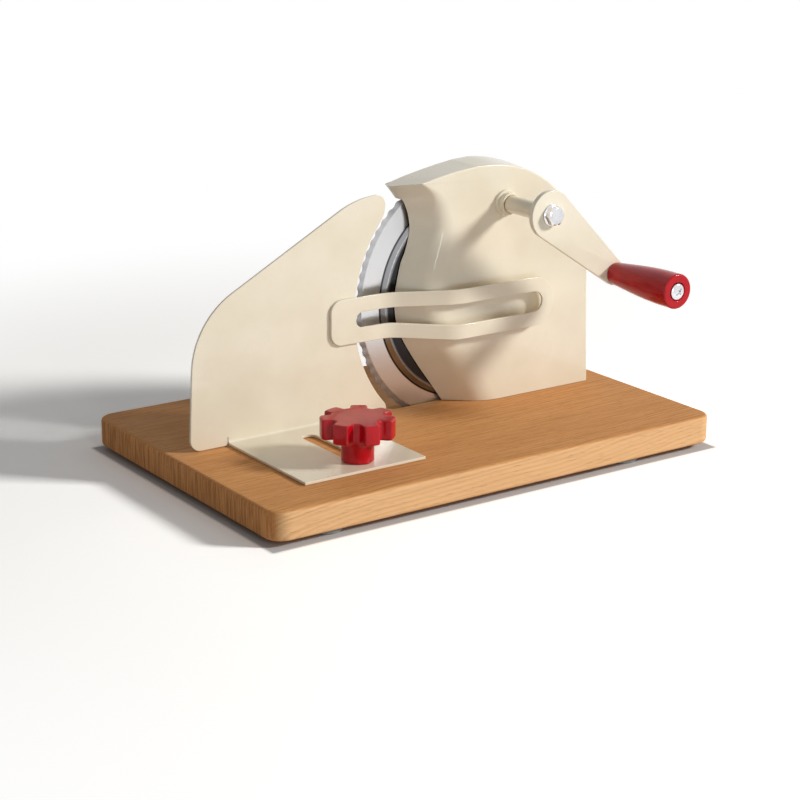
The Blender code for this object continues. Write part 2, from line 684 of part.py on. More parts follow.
def add_feet(root):
    """Four rubber feet and the screws that hold them."""
    recess = FOOT_SCREW_HEAD_RADIUS + HOLE_ROOM
    bore = FOOT_SCREW_RADIUS + HOLE_ROOM
    top = FOOT_HEIGHT - SEAT_GAP
    seat = top - FOOT_FLOOR
    foot = turned([(FOOT_RADIUS, top), (FOOT_RADIUS, 0.8 * MM), (FOOT_RADIUS - 0.8 * MM, 0),
                   (recess, 0), (recess, seat), (bore, seat), (bore, top)], 18)
    head_top = seat - SEAT_GAP
    screw_top = head_top + FOOT_SCREW_LENGTH
    screw = turned([(0, screw_top), (0.6 * MM, screw_top), (FOOT_SCREW_RADIUS, screw_top - 2 * MM),
                    (FOOT_SCREW_RADIUS, head_top), (FOOT_SCREW_HEAD_RADIUS, head_top),
                    (FOOT_SCREW_HEAD_RADIUS, head_top - 0.5 * FOOT_SCREW_HEAD),
                    (0.6 * FOOT_SCREW_HEAD_RADIUS, head_top - FOOT_SCREW_HEAD),
                    (0, head_top - FOOT_SCREW_HEAD)], 12)
    places = [Matrix.Translation((x, y, 0)) for x, y in foot_places()]
    add_copies("rubber_foot", foot, ((0.30, 0.31, 0.30), 0.7), root, places)
    add_copies("foot_screw", screw, STEEL, root, places)


# Housing


def housing_outlines():
    """The housing's back and front outlines, as equally many (x, z) points from foot to foot."""
    sides = []
    for left, top, steps, foot_x in (
            (BACK_LEFT_MM, BACK_TOP_MM, (0, 0), BLADE_X + RIM_RADIUS),
            (FRONT_LEFT_MM, FRONT_TOP_MM, (FRONT_TOP_STEP, FRONT_SIDE_STEP), HOUSING_FOOT_RIGHT_X)):
        left = smooth_through([(beside_blade(x * MM), above_deck(z * MM) + SEAT_GAP)
                               for x, z in left], 2)
        top = smooth_through([(beside_blade(x * MM), above_deck(z * MM)) for x, z in top], 3)
        turn = []
        count = 14
        for i in range(count + 1):
            angle = math.radians(90 * (1 - i / count))
            drop = steps[1] + (steps[0] - steps[1]) * math.sin(angle)
            radius = RIM_RADIUS - drop
            turn.append((BLADE_X + radius * math.cos(angle), BLADE_Z + radius * math.sin(angle)))
        last = turn[-1]
        foot = (foot_x, DECK_Z + SEAT_GAP)
        down = [(last[0] + (foot[0] - last[0]) * i / 4, last[1] + (foot[1] - last[1]) * i / 4)
                for i in range(1, 5)]
        sides.append(left[:-1] + top + turn + down)
    return sides


def outline_at(back, front, y):
    """The housing's outline between its back edge and its front ridge at a depth."""
    share = min(1, max(0, (POCKET_FRONT_Y - y) / (POCKET_FRONT_Y - HOUSING_FRONT_Y)))
    return [(b[0] + (f[0] - b[0]) * share, b[1] + (f[1] - b[1]) * share)
            for b, f in zip(back, front)]


def rounding_at(point, index, left_count):
    """How far the front edge is rounded at a point of the outline."""
    if index >= left_count:
        return EDGE_ROUNDING
    share = 1 - min(1, max(0, (point[1] - DECK_Z) / BLADE_ABOVE_DECK))
    fade = min(1, (left_count - index) / 4)
    return EDGE_ROUNDING + fade * (RIDGE_ROUNDING - EDGE_ROUNDING
                                   + share * (FOOT_ROUNDING - RIDGE_ROUNDING))


def housing_shell(back, front):
    """The housing's outside as one solid: back edge, ruled sides, rounded ridge and flat front."""
    count = len(front)
    left_count = 2 * len(FRONT_LEFT_MM) - 2
    round_steps = 4
    rings = [[] for _ in range(round_steps + 1)]
    for i, corner in enumerate(front):
        last, following = front[max(0, i - 1)], front[min(count - 1, i + 1)]
        along = Vector((following[0] - last[0], following[1] - last[1])).normalized()
        inward = Vector((along.y, -along.x))
        if i in (0, count - 1):
            inward = Vector((1 if i == 0 else -1, 0))
        size = rounding_at(corner, i, left_count)
        ridge = Vector((corner[0], HOUSING_FRONT_Y, corner[1]))
        rear = Vector((back[i][0], POCKET_FRONT_Y + 0.5 * MM, back[i][1]))
        start = ridge + (rear - ridge).normalized() * size
        end = ridge + Vector((inward.x, 0, inward.y)) * size
        for k in range(round_steps + 1):
            t = k / round_steps
            rings[k].append((1 - t) ** 2 * start + 2 * t * (1 - t) * ridge + t ** 2 * end)
    behind = [Vector((x, HOUSING_BACK_Y, z)) for x, z in back]
    beside = [Vector((x, POCKET_FRONT_Y + 0.5 * MM, z)) for x, z in back]
    return ring_stack([behind, beside] + rings)


def inner_ring(outline, wall, y, steps):
    """A ring that stays a wall's thickness inside an outline, seen from the blade's axis."""
    centre = Vector((BLADE_X, BLADE_Z))
    limit = POCKET_RADIUS - CAVITY_LIMIT
    below = DECK_Z - CAVITY_DROP
    outline = [(outline[0][0], below)] + outline + [(outline[-1][0], below)]
    ring = []
    for step in range(steps):
        angle = 2 * math.pi * (step + 0.5) / steps
        ray = Vector((math.cos(angle), math.sin(angle)))
        reach = (BLADE_ABOVE_DECK + CAVITY_DROP / 2) / max(0.05, -ray.y)
        for i in range(len(outline) - 1):
            start = Vector(outline[i]) - centre
            edge = Vector(outline[i + 1]) - centre - start
            cross = ray.x * edge.y - ray.y * edge.x
            if abs(cross) < 1e-12:
                continue
            distance = (start.x * edge.y - start.y * edge.x) / cross
            share = (start.x * ray.y - start.y * ray.x) / cross
            if distance > 0 and 0 <= share <= 1:
                facing = abs(cross) / edge.length
                reach = min(reach, distance - wall / max(0.4, facing))
        radius = min(reach, limit) if ray.y > -0.6 else reach
        ring.append((BLADE_X + radius * ray.x, y, BLADE_Z + radius * ray.y))
    return ring


def add_housing(root):
    """The cast housing: a shell with the blade's pocket, bearing bosses and screw posts."""
    back, front = housing_outlines()
    housing = add_piece("housing", housing_shell(back, front), CREAM, root)
    steps = 72
    cavity = ring_stack([
        inner_ring(outline_at(back, front, POCKET_FRONT_Y), HOUSING_WALL,
                   POCKET_FRONT_Y + MM, steps),
        inner_ring(outline_at(back, front, HOUSING_INNER_Y), HOUSING_WALL + FOOT_ROUNDING / 3,
                   HOUSING_INNER_Y, steps)])
    cavity = add_tool("cavity", cavity, root)
    boss = rod(BOSS_RADIUS, HOUSING_INNER_Y - MM, BOSS_BACK_Y, 32)
    combine(cavity, add_tool("crank_boss", boss, root, (CRANK_X, 0, CRANK_Z), ALONG_Y),
            "DIFFERENCE")
    boss = rod(AXLE_BOSS_RADIUS, HOUSING_INNER_Y - MM, AXLE_BOSS_Y, 32)
    combine(cavity, add_tool("axle_boss", boss, root, (BLADE_X, 0, BLADE_Z), ALONG_Y),
            "DIFFERENCE")
    low = DECK_Z + SEAT_GAP
    post = rod(POST_RADIUS, low - 4 * HOUSING_WALL, low + POST_HEIGHT, 24)
    posts = copies(post, [Matrix.Translation((x, y, 0)) for x, y in housing_screw_places()[:2]])
    combine(cavity, add_tool("screw_posts", posts, root), "DIFFERENCE")
    combine(housing, cavity, "DIFFERENCE")
    pocket = rod(POCKET_RADIUS, POCKET_FRONT_Y, HOUSING_BACK_Y + MM, 96)
    combine(housing, add_tool("blade_pocket", pocket, root, (BLADE_X, 0, BLADE_Z), ALONG_Y),
            "DIFFERENCE")
    nose = turned([(0, HOUSING_FRONT_Y + MM), (BOSS_RADIUS, HOUSING_FRONT_Y + MM),
                   (BOSS_RADIUS, HOUSING_FRONT_Y - 2.4 * MM),
                   (BOSS_RING_RADIUS, HOUSING_FRONT_Y - 2.9 * MM),
                   (BOSS_RING_RADIUS, BOSS_FRONT_Y + 0.5 * MM),
                   (BOSS_RING_RADIUS - 0.5 * MM, BOSS_FRONT_Y), (0, BOSS_FRONT_Y)], 32)
    combine(housing, add_tool("crank_nose", nose, root, (CRANK_X, 0, CRANK_Z), ALONG_Y), "UNION")
    bore = rod(CRANK_BUSH_RADIUS + PRESS_GAP, BOSS_FRONT_Y - MM, BOSS_BACK_Y + MM, 32)
    combine(housing, add_tool("crank_bore", bore, root, (CRANK_X, 0, CRANK_Z), ALONG_Y),
            "DIFFERENCE")
    bore = rod(AXLE_RADIUS + PRESS_GAP, AXLE_FRONT_Y - SEAT_GAP, AXLE_BOSS_Y + MM, 32)
    combine(housing, add_tool("axle_bore", bore, root, (BLADE_X, 0, BLADE_Z), ALONG_Y),
            "DIFFERENCE")
    thread = rod(HOUSING_SCREW_RADIUS + THREAD_GAP, low - MM, low + HOUSING_SCREW_BITE + MM, 16)
    threads = copies(thread, [Matrix.Translation((x, y, 0)) for x, y in housing_screw_places()])
    combine(housing, add_tool("screw_threads", threads, root), "DIFFERENCE")


def add_housing_screws(root):
    """The three screws and washers that hold the housing from under the board."""
    seat = FOOT_HEIGHT + COUNTERBORE_DEPTH - SEAT_GAP
    washer = tube(HOUSING_SCREW_RADIUS + HOLE_ROOM, WASHER_RADIUS, seat - WASHER_THICKNESS, seat, 16)
    top = seat - WASHER_THICKNESS - SEAT_GAP
    tip = DECK_Z + HOUSING_SCREW_BITE
    low = top - SCREW_HEAD
    screw = turned([(0, tip), (HOUSING_SCREW_RADIUS - 0.6 * MM, tip),
                    (HOUSING_SCREW_RADIUS, tip - 0.8 * MM), (HOUSING_SCREW_RADIUS, top),
                    (SCREW_HEAD_RADIUS, top), (SCREW_HEAD_RADIUS, low + 0.5 * MM),
                    (SCREW_HEAD_RADIUS - 0.5 * MM, low), (2 * MM, low),
                    (2 * MM, low + 1.8 * MM), (0, low + 1.8 * MM)], 12)
    places = [Matrix.Translation((x, y, 0)) for x, y in housing_screw_places()]
    add_copies("housing_screw", screw, STEEL, root, places)
    add_copies("housing_washer", washer, STEEL, root, places)


# Blade and its gear


def add_blade(blade_joint):
    """The round blade: scalloped and bevelled at the rim, dished forward in the middle."""
    bore = GEAR_SPIGOT_RADIUS + PRESS_GAP
    back_step = BLADE_THICKNESS * DISH_RAMP / (DISH_RAMP + DISH_DEPTH)
    profile = [(BLADE_RADIUS, BLADE_BACK_Y), (BLADE_RADIUS, BLADE_BACK_Y - EDGE_THICKNESS),
               (BLADE_RADIUS - BEVEL_WIDTH, BLADE_FRONT_Y), (DISH_RADIUS, BLADE_FRONT_Y),
               (DISH_RADIUS - DISH_RAMP, DISH_FRONT_Y), (bore, DISH_FRONT_Y), (bore, DISH_BACK_Y),
               (DISH_RADIUS - DISH_RAMP + back_step, DISH_BACK_Y),
               (DISH_RADIUS + back_step, BLADE_BACK_Y)]
    mesh = turned(profile, 2 * SCALLOPS)
    for vertex in mesh.vertices:
        radius = math.hypot(vertex.co.x, vertex.co.y)
        if radius > BLADE_RADIUS - 0.1 * MM:
            angle = math.atan2(vertex.co.y, vertex.co.x)
            scoop = SCALLOP_DEPTH * math.sin(SCALLOPS * angle / 2) ** 2
            vertex.co.x *= (radius - scoop) / radius
            vertex.co.y *= (radius - scoop) / radius
    blade = add_piece("slicing_blade", mesh, ((0.66, 0.66, 0.67), 0.15, 1.0), blade_joint,
                      turn=ALONG_Y)
    neck = RIVET_RADIUS + HOLE_ROOM
    head = RIVET_HEAD_RADIUS + PRESS_GAP
    hole = turned([(0, DISH_BACK_Y + MM), (head, DISH_BACK_Y + MM), (head, DISH_BACK_Y),
                   (neck, DISH_BACK_Y - MM), (neck, DISH_FRONT_Y - MM), (0, DISH_FRONT_Y - MM)], 16)
    combine(blade, add_tool("rivet_seats", copies(hole, rivet_turns()), blade_joint, turn=ALONG_Y),
            "DIFFERENCE")


def rivet_turns():
    """Where the gear's rivets stand round the blade's axis, in turned coordinates."""
    places = circle((0, 0), RIVET_CIRCLE_RADIUS, RIVETS)
    return [Matrix.Translation((x, y, 0)) for x, y in places]


def add_gear(blade_joint):
    """The gear ring behind the housing's front, riveted to the blade, with its rivets."""
    inner = GEAR_INNER_RADIUS
    teeth = plate([gear_outline(GEAR_TEETH, MESH_ANGLE), circle((0, 0), inner, 56)], GEAR_THICKNESS)
    gear = add_piece("blade_gear", teeth, NYLON, blade_joint,
                     (0, GEAR_FRONT_Y + GEAR_THICKNESS / 2, 0), UPRIGHT)
    bore = AXLE_BUSH_RADIUS + PRESS_GAP
    web_front = GEAR_BACK_Y - GEAR_WEB
    middle = turned([(GEAR_SPIGOT_RADIUS, DISH_BACK_Y - SEAT_GAP), (GEAR_SPIGOT_RADIUS, GEAR_BACK_Y),
                     (inner + MM, GEAR_BACK_Y), (inner + MM, web_front),
                     (GEAR_HUB_RADIUS, web_front), (GEAR_HUB_RADIUS, GEAR_HUB_Y),
                     (bore, GEAR_HUB_Y), (bore, DISH_BACK_Y - SEAT_GAP)], 28)
    combine(gear, add_tool("gear_middle", middle, blade_joint, turn=ALONG_Y), "UNION")
    hole = rod(RIVET_RADIUS + THREAD_GAP, GEAR_FRONT_Y, GEAR_BACK_Y + MM, 16)
    combine(gear, add_tool("rivet_holes", copies(hole, rivet_turns()), blade_joint, turn=ALONG_Y),
            "DIFFERENCE")
    top = DISH_BACK_Y - 0.1 * MM
    tail = web_front - SEAT_GAP
    rivet = turned([(0, top), (RIVET_HEAD_RADIUS - 0.2 * MM, top), (RIVET_RADIUS, top - MM),
                    (RIVET_RADIUS, tail), (RIVET_RADIUS + 1.2 * MM, tail),
                    (RIVET_RADIUS + 0.7 * MM, tail - 0.9 * MM), (0, tail - 0.9 * MM)], 12)
    add_copies("gear_rivet", rivet, STEEL, blade_joint, [ALONG_Y @ turn for turn in rivet_turns()])
    flange_y = AXLE_BOSS_Y + SEAT_GAP
    bush = turned([(AXLE_BUSH_RADIUS, DISH_BACK_Y - SEAT_GAP),
                   (AXLE_BUSH_RADIUS, flange_y + AXLE_FLANGE),
                   (AXLE_FLANGE_RADIUS, flange_y + AXLE_FLANGE), (AXLE_FLANGE_RADIUS, flange_y),
                   (AXLE_RADIUS + RUN_GAP, flange_y),
                   (AXLE_RADIUS + RUN_GAP, DISH_BACK_Y - SEAT_GAP)], 24)
    add_piece("blade_bush", bush, BRASS, blade_joint, turn=ALONG_Y)


def add_axle(root):
    """The fixed axle in the housing, and the slotted screw and washer that keep the blade on."""
    place = (BLADE_X, 0, BLADE_Z)
    thread = LOCK_SCREW_RADIUS + THREAD_GAP
    depth = AXLE_BACK_Y - LOCK_SCREW_LENGTH
    axle = turned([(AXLE_RADIUS, AXLE_BACK_Y), (AXLE_RADIUS, AXLE_FRONT_Y), (0, AXLE_FRONT_Y),
                   (0, depth), (thread, depth), (thread, AXLE_BACK_Y)], 24)
    add_piece("blade_axle", axle, STEEL, root, place, ALONG_Y)
    washer_y = DISH_BACK_Y + SEAT_GAP
    head_y = washer_y + LOCK_WASHER + 0.2 * MM
    washer = tube(LOCK_SCREW_RADIUS + THREAD_GAP, LOCK_SCREW_HEAD_RADIUS - MM, washer_y,
                  washer_y + LOCK_WASHER, 24)
    add_piece("blade_lock_washer", washer, STEEL, root, place, ALONG_Y)
    top = head_y + LOCK_SCREW_HEAD
    screw = turned([(0, top), (LOCK_SCREW_HEAD_RADIUS - 0.4 * MM, top),
                    (LOCK_SCREW_HEAD_RADIUS, top - 0.4 * MM), (LOCK_SCREW_HEAD_RADIUS, head_y),
                    (LOCK_SCREW_RADIUS, head_y), (LOCK_SCREW_RADIUS, depth + MM),
                    (0, depth + MM)], 24)
    screw = add_piece("blade_lock_screw", screw, CHROME, root, place, ALONG_Y)
    slot = box((2.4 * LOCK_SCREW_HEAD_RADIUS, 2 * LOCK_SCREW_HEAD / 2, LOCK_SCREW_SLOT),
               (0, top, 0))
    combine(screw, add_tool("coin_slot", slot, root, place), "DIFFERENCE")


# Crank


def add_crank(root, crank_joint):
    """Bush, shaft, pinion, key, clips, sleeve, arm and its bolt."""
    flange_y = BOSS_BACK_Y + SEAT_GAP
    bush_end = flange_y + CRANK_BUSH_FLANGE
    bush = turned([(CRANK_BUSH_FLANGE_RADIUS, bush_end), (CRANK_BUSH_FLANGE_RADIUS, flange_y),
                   (CRANK_BUSH_RADIUS, flange_y), (CRANK_BUSH_RADIUS, BOSS_FRONT_Y),
                   (SHAFT_RADIUS + RUN_GAP, BOSS_FRONT_Y), (SHAFT_RADIUS + RUN_GAP, bush_end)], 24)
    add_piece("crank_bush", bush, BRASS, root, (CRANK_X, 0, CRANK_Z), ALONG_Y)
    groove = SHAFT_RADIUS - CIRCLIP_GROOVE
    room = 0.1 * MM
    neck = ARM_BACK_Y + SEAT_GAP
    profile = [(0, SHAFT_BACK_Y), (SHAFT_RADIUS - room, SHAFT_BACK_Y),
               (SHAFT_RADIUS, SHAFT_BACK_Y - room)]
    for low in (BACK_CLIP_Y, FRONT_CLIP_Y):
        high = low + CIRCLIP_THICKNESS
        profile += [(SHAFT_RADIUS, high + room), (groove, high + room), (groove, low - room),
                    (SHAFT_RADIUS, low - room)]
    profile += [(SHAFT_RADIUS, neck), (0, neck)]
    shaft = add_piece("crank_shaft", turned(profile, 24), STEEL, crank_joint, turn=ALONG_Y)
    tang = box((TANG_SIDE, ARM_THICKNESS + MM, TANG_SIDE),
               (0, ARM_FRONT_Y + SEAT_GAP + (ARM_THICKNESS + MM) / 2, 0))
    combine(shaft, add_tool("shaft_tang", tang, crank_joint,
                            turn=Matrix.Rotation(-ARM_ANGLE, 4, "Y")), "UNION")
    thread = rod(CRANK_BOLT_RADIUS + THREAD_GAP, ARM_FRONT_Y, ARM_FRONT_Y + CRANK_BOLT_LENGTH, 12)
    combine(shaft, add_tool("shaft_thread", thread, crank_joint, turn=ALONG_Y), "DIFFERENCE")
    key_middle = (0, PINION_FRONT_Y + PINION_WIDTH / 2, SHAFT_RADIUS)
    keyway = box((KEY_SIDE + 2 * THREAD_GAP, PINION_WIDTH + 0.2 * MM, KEY_SIDE + 2 * THREAD_GAP),
                 key_middle)
    keyway = add_tool("keyway", keyway, crank_joint)
    combine(shaft, keyway, "DIFFERENCE")
    key = box((KEY_SIDE, PINION_WIDTH - 2 * THREAD_GAP, KEY_SIDE), key_middle)
    add_piece("pinion_key", key, STEEL, crank_joint)
    turn = MESH_ANGLE + math.pi + math.pi / PINION_TEETH
    outline = gear_outline(PINION_TEETH, turn)
    bore = circle((0, 0), SHAFT_RADIUS + PRESS_GAP, 24)
    pinion = add_piece("drive_pinion", plate([outline, bore], PINION_WIDTH), STEEL, crank_joint,
                       (0, PINION_FRONT_Y + PINION_WIDTH / 2, 0), UPRIGHT)
    combine(pinion, keyway, "DIFFERENCE")
    opening = CIRCLIP_OPENING / 2
    clip = (arc((0, 0), CIRCLIP_RADIUS, opening, 2 * math.pi - opening, 14)
            + arc((0, 0), groove + PRESS_GAP, 2 * math.pi - opening, opening, 14))
    middles = (FRONT_CLIP_Y + CIRCLIP_THICKNESS / 2, BACK_CLIP_Y + CIRCLIP_THICKNESS / 2)
    add_copies("shaft_circlip", plate([clip], CIRCLIP_THICKNESS), STEEL, crank_joint,
               [Matrix.Translation((0, y, 0)) @ UPRIGHT for y in middles])
    sleeve = tube(SHAFT_RADIUS + PRESS_GAP, SLEEVE_RADIUS, ARM_BACK_Y + SEAT_GAP,
                  BOSS_FRONT_Y - SEAT_GAP, 24)
    add_piece("crank_sleeve", sleeve, CREAM, crank_joint, turn=ALONG_Y)
    add_arm(crank_joint)
    add_crank_bolt(crank_joint)


def add_arm(crank_joint):
    """The flat crank arm, wide at the shaft and narrow at the handle, turned to its rest angle."""
    lean = math.acos((ARM_BIG_RADIUS - ARM_SMALL_RADIUS) / ARM_LENGTH)
    outline = (arc((0, 0), ARM_BIG_RADIUS, lean, 2 * math.pi - lean, 18)
               + arc((ARM_LENGTH, 0), ARM_SMALL_RADIUS, -lean, lean, 10))
    side = TANG_SIDE / 2 + THREAD_GAP
    square = [(side, side), (-side, side), (-side, -side), (side, -side)]
    hole = circle((ARM_LENGTH, 0), GRIP_SCREW_RADIUS + THREAD_GAP, 24)
    turn = Matrix.Rotation(-ARM_ANGLE, 4, "Y") @ UPRIGHT
    arm = add_piece("crank_arm", plate([outline, square, hole], ARM_THICKNESS), CREAM, crank_joint,
                    (0, ARM_FRONT_Y + ARM_THICKNESS / 2, 0), turn)
    round_edges(arm, ARM_EDGE_ROUNDING, 1)


def add_crank_bolt(crank_joint):
    """The chrome flange bolt that holds the arm on the shaft."""
    seat = ARM_FRONT_Y - SEAT_GAP
    flange_front = seat - CRANK_BOLT_FLANGE
    tip = ARM_FRONT_Y + CRANK_BOLT_LENGTH - MM
    body = turned([(0, tip), (CRANK_BOLT_RADIUS, tip), (CRANK_BOLT_RADIUS, seat),
                   (CRANK_BOLT_FLANGE_RADIUS, seat), (CRANK_BOLT_FLANGE_RADIUS, seat - 0.5 * MM),
                   (CRANK_BOLT_HEX / 2, flange_front), (0, flange_front)], 24)
    bolt = add_piece("crank_bolt", body, CHROME, crank_joint, turn=ALONG_Y)
    height = CRANK_BOLT_HEAD + MM
    head = plate([hexagon(CRANK_BOLT_HEX)], height)
    head = add_tool("bolt_hex", head, crank_joint,
                    (0, flange_front - CRANK_BOLT_HEAD + height / 2, 0), UPRIGHT)
    combine(bolt, head, "UNION")


def add_handle(crank_joint, grip_joint):
    """The red grip, and the sleeve, screw and nut that carry it on the arm."""
    bore = GRIP_SLEEVE_RADIUS + RUN_GAP
    recess = GRIP_SCREW_HEAD_RADIUS + 0.9 * MM
    spread = GRIP_END_RADIUS - GRIP_BASE_RADIUS
    front, rear = GRIP_FRONT_Y, GRIP_BACK_Y
    shares = [0.02, 0.14, 0.3, 0.5, 0.7, 0.86]
    side = [(GRIP_BASE_RADIUS + spread * math.sin(math.pi / 2 * min(1, share / 0.86)) ** 1.15,
             rear - GRIP_LENGTH * share) for share in shares]
    end = [(GRIP_END_RADIUS - 3 * MM + 3 * MM * math.cos(a), front + 3 * MM - 3 * MM * math.sin(a))
           for a in (0, math.pi / 6, math.pi / 3, math.pi / 2)]
    profile = ([(GRIP_BASE_RADIUS - 0.5 * MM, rear)] + side + end
               + [(recess, front), (recess - 0.3 * MM, front + GRIP_RECESS),
                  (bore, front + GRIP_RECESS), (bore, rear)])
    add_piece("handle_grip", turned(profile, 24), RED, grip_joint, turn=ALONG_Y)
    place = (ARM_LENGTH * math.cos(ARM_ANGLE), 0, ARM_LENGTH * math.sin(ARM_ANGLE))
    sleeve = tube(GRIP_SCREW_RADIUS + PRESS_GAP, GRIP_SLEEVE_RADIUS, GRIP_SLEEVE_FRONT_Y,
                  ARM_FRONT_Y - SEAT_GAP, 20)
    add_piece("handle_sleeve", sleeve, STEEL, crank_joint, place, ALONG_Y)
    nut_y = ARM_BACK_Y + SEAT_GAP
    tip = nut_y + GRIP_NUT
    low = GRIP_HEAD_Y - GRIP_SCREW_HEAD
    radius = GRIP_SCREW_HEAD_RADIUS
    body = turned([(0, tip), (GRIP_SCREW_RADIUS, tip), (GRIP_SCREW_RADIUS, GRIP_HEAD_Y),
                   (radius, GRIP_HEAD_Y), (radius, low + 1.1 * MM), (0.86 * radius, low + 0.4 * MM),
                   (0.5 * radius, low), (0, low)], 24)
    screw = add_piece("handle_screw", body, CHROME, crank_joint, place, ALONG_Y)
    for turn in (0, math.pi / 2):
        blade = box((5.4 * MM, 3.6 * MM, 1.1 * MM), (0, low, 0))
        cut = add_tool("screw_cross", blade, crank_joint, place,
                       Matrix.Rotation(turn + math.pi / 4, 4, "Y"))
        combine(screw, cut, "DIFFERENCE")
    nut = plate([hexagon(GRIP_NUT_SIDE), circle((0, 0), GRIP_SCREW_RADIUS + THREAD_GAP, 24)],
                GRIP_NUT)
    add_piece("handle_nut", nut, STEEL, crank_joint,
              (place[0], nut_y + GRIP_NUT / 2, place[2]), UPRIGHT)


# Fence and guard


def fence_fin_outline():
    """The upright plate's outline as (x, z), with an arc that follows the blade."""
    low = FENCE_BOTTOM_Z
    centre = (BLADE_X, BLADE_Z)
    start = math.pi - math.asin((FENCE_ARC_TOP - BLADE_ABOVE_DECK) / FENCE_ARC_RADIUS)
    end = math.pi - math.asin((FENCE_ARC_BOTTOM - BLADE_ABOVE_DECK) / FENCE_ARC_RADIUS)
    edge = arc(centre, FENCE_ARC_RADIUS, end, start, 22)
    first = Vector(edge[0])
    slope = Vector((math.sin(end), -math.cos(end)))
    corner = first + slope * (first.y - low) / -slope.y
    flange_right = FLANGE_LEFT_X + FLANGE_WIDTH
    notch = FENCE_BOTTOM_Z + BEND_RADIUS + 2 * FENCE_THICKNESS
    top_start = Vector(edge[-1])
    shoulder = top_start + Vector((0.5, 0.87)) * FENCE_SHOULDER
    right_x = top_start.x + FENCE_TOP_REACH
    middle_x = right_x - FENCE_TOP_LENGTH
    corners = [(FENCE_LEFT_X, low, FENCE_CORNER_RADIUS), (FLANGE_LEFT_X - BEND_RELIEF, low, 0),
               (FLANGE_LEFT_X - BEND_RELIEF, notch, 0), (flange_right + BEND_RELIEF, notch, 0),
               (flange_right + BEND_RELIEF, low, 0), (corner.x, low, 6 * MM)]
    corners += [(x, z, 0) for x, z in edge]
    corners += [(shoulder.x, shoulder.y, FENCE_SHOULDER),
                (right_x, DECK_Z + FENCE_TOP_RIGHT_HEIGHT, FENCE_CORNER_RADIUS),
                (middle_x, DECK_Z + FENCE_TOP_MIDDLE_HEIGHT, FENCE_TOP_ROUNDING),
                (FENCE_TOP_LEFT[0], DECK_Z + FENCE_TOP_LEFT[1], FENCE_LEFT_ROUNDING)]
    return rounded(corners, 8)


def fence_bend_outline():
    """The section of flange and bend as (y, z), up to where it meets the upright plate."""
    low, thick = FENCE_BOTTOM_Z, FENCE_THICKNESS
    outer = BEND_RADIUS + thick
    high = low + outer + thick
    quarter = math.pi / 2
    outside = arc((FENCE_BACK_Y - outer, low + outer), outer, -quarter, 0, 5)
    inside = arc((FENCE_FRONT_Y - BEND_RADIUS, low + outer), BEND_RADIUS, 0, -quarter, 5)
    return ([(FLANGE_FRONT_Y, low)] + outside + [(FENCE_BACK_Y, high), (FENCE_FRONT_Y, high)]
            + inside + [(FLANGE_FRONT_Y, low + thick)])


def guard_rivet_places():
    """Where the guard strip is riveted to the fence, as (x, z)."""
    middle = DECK_Z + GUARD_TOP - GUARD_LEFT_HEIGHT / 2
    x = GUARD_LEFT_X + GUARD_RIVET_INSET
    return [(x, middle + side * GUARD_RIVET_SPACING / 2) for side in (-1, 1)]


def add_fence(fence_joint):
    """The bent fence plate, with its clamping slot and rivet holes."""
    fin = plate([fence_fin_outline()], FENCE_THICKNESS)
    fence = add_piece("fence_plate", fin, CREAM, fence_joint,
                      (0, FENCE_FRONT_Y + FENCE_THICKNESS / 2, 0), UPRIGHT)
    section = plate([fence_bend_outline()], FLANGE_WIDTH)
    along_x = Matrix(((0, 0, 1, 0), (1, 0, 0, 0), (0, 1, 0, 0), (0, 0, 0, 1)))
    flange = add_tool("flange", section, fence_joint, (FLANGE_LEFT_X + FLANGE_WIDTH / 2, 0, 0),
                      along_x)
    combine(fence, flange, "UNION")
    near = FLANGE_FRONT_Y + FENCE_SLOT_MARGIN
    half = FENCE_SLOT_WIDTH / 2
    slot = [(y, x) for x, y in long_slot(near, FENCE_SLOT_FAR_Y, -half, half, 8)][::-1]
    slot = plate([slot], 4 * FENCE_THICKNESS)
    combine(fence, add_tool("clamp_slot", slot, fence_joint, (FENCE_SLOT_X, 0, FENCE_BOTTOM_Z)),
            "DIFFERENCE")
    combine(fence, add_tool("guard_rivet_holes", guard_rivet_holes(), fence_joint, turn=ALONG_Y),
            "DIFFERENCE")


def guard_rivet_holes():
    """Cutters for the guard's two rivets, in turned coordinates."""
    hole = rod(GUARD_RIVET_RADIUS + PRESS_GAP, GUARD_LEFT_Y - MM, FENCE_BACK_Y + MM, 16)
    return copies(hole, guard_rivet_turns())


def guard_rivet_turns():
    """The guard's rivet places in turned coordinates."""
    return [Matrix.Translation((x, -z, 0)) for x, z in guard_rivet_places()]


def guard_plan():
    """The guard strip seen from above, as a closed outline of its thickness."""
    back_left = GUARD_LEFT_Y + GUARD_THICKNESS
    back_right = GUARD_FRONT_Y + GUARD_THICKNESS
    rise = math.atan2(GUARD_LEFT_Y - GUARD_FRONT_Y, GUARD_BEND_RIGHT_X - GUARD_BEND_LEFT_X)
    shift = GUARD_THICKNESS * math.tan(rise / 2)
    inner, outer = GUARD_BEND_RADIUS, GUARD_BEND_RADIUS + GUARD_THICKNESS
    corners = [(GUARD_LEFT_X, GUARD_LEFT_Y, 0), (GUARD_BEND_LEFT_X, GUARD_LEFT_Y, inner),
               (GUARD_BEND_RIGHT_X, GUARD_FRONT_Y, outer), (GUARD_END_X, GUARD_FRONT_Y, 0),
               (GUARD_END_X, back_right, 0), (GUARD_BEND_RIGHT_X + shift, back_right, inner),
               (GUARD_BEND_LEFT_X + shift, back_left, outer), (GUARD_LEFT_X, back_left, 0)]
    return rounded(corners, 6)


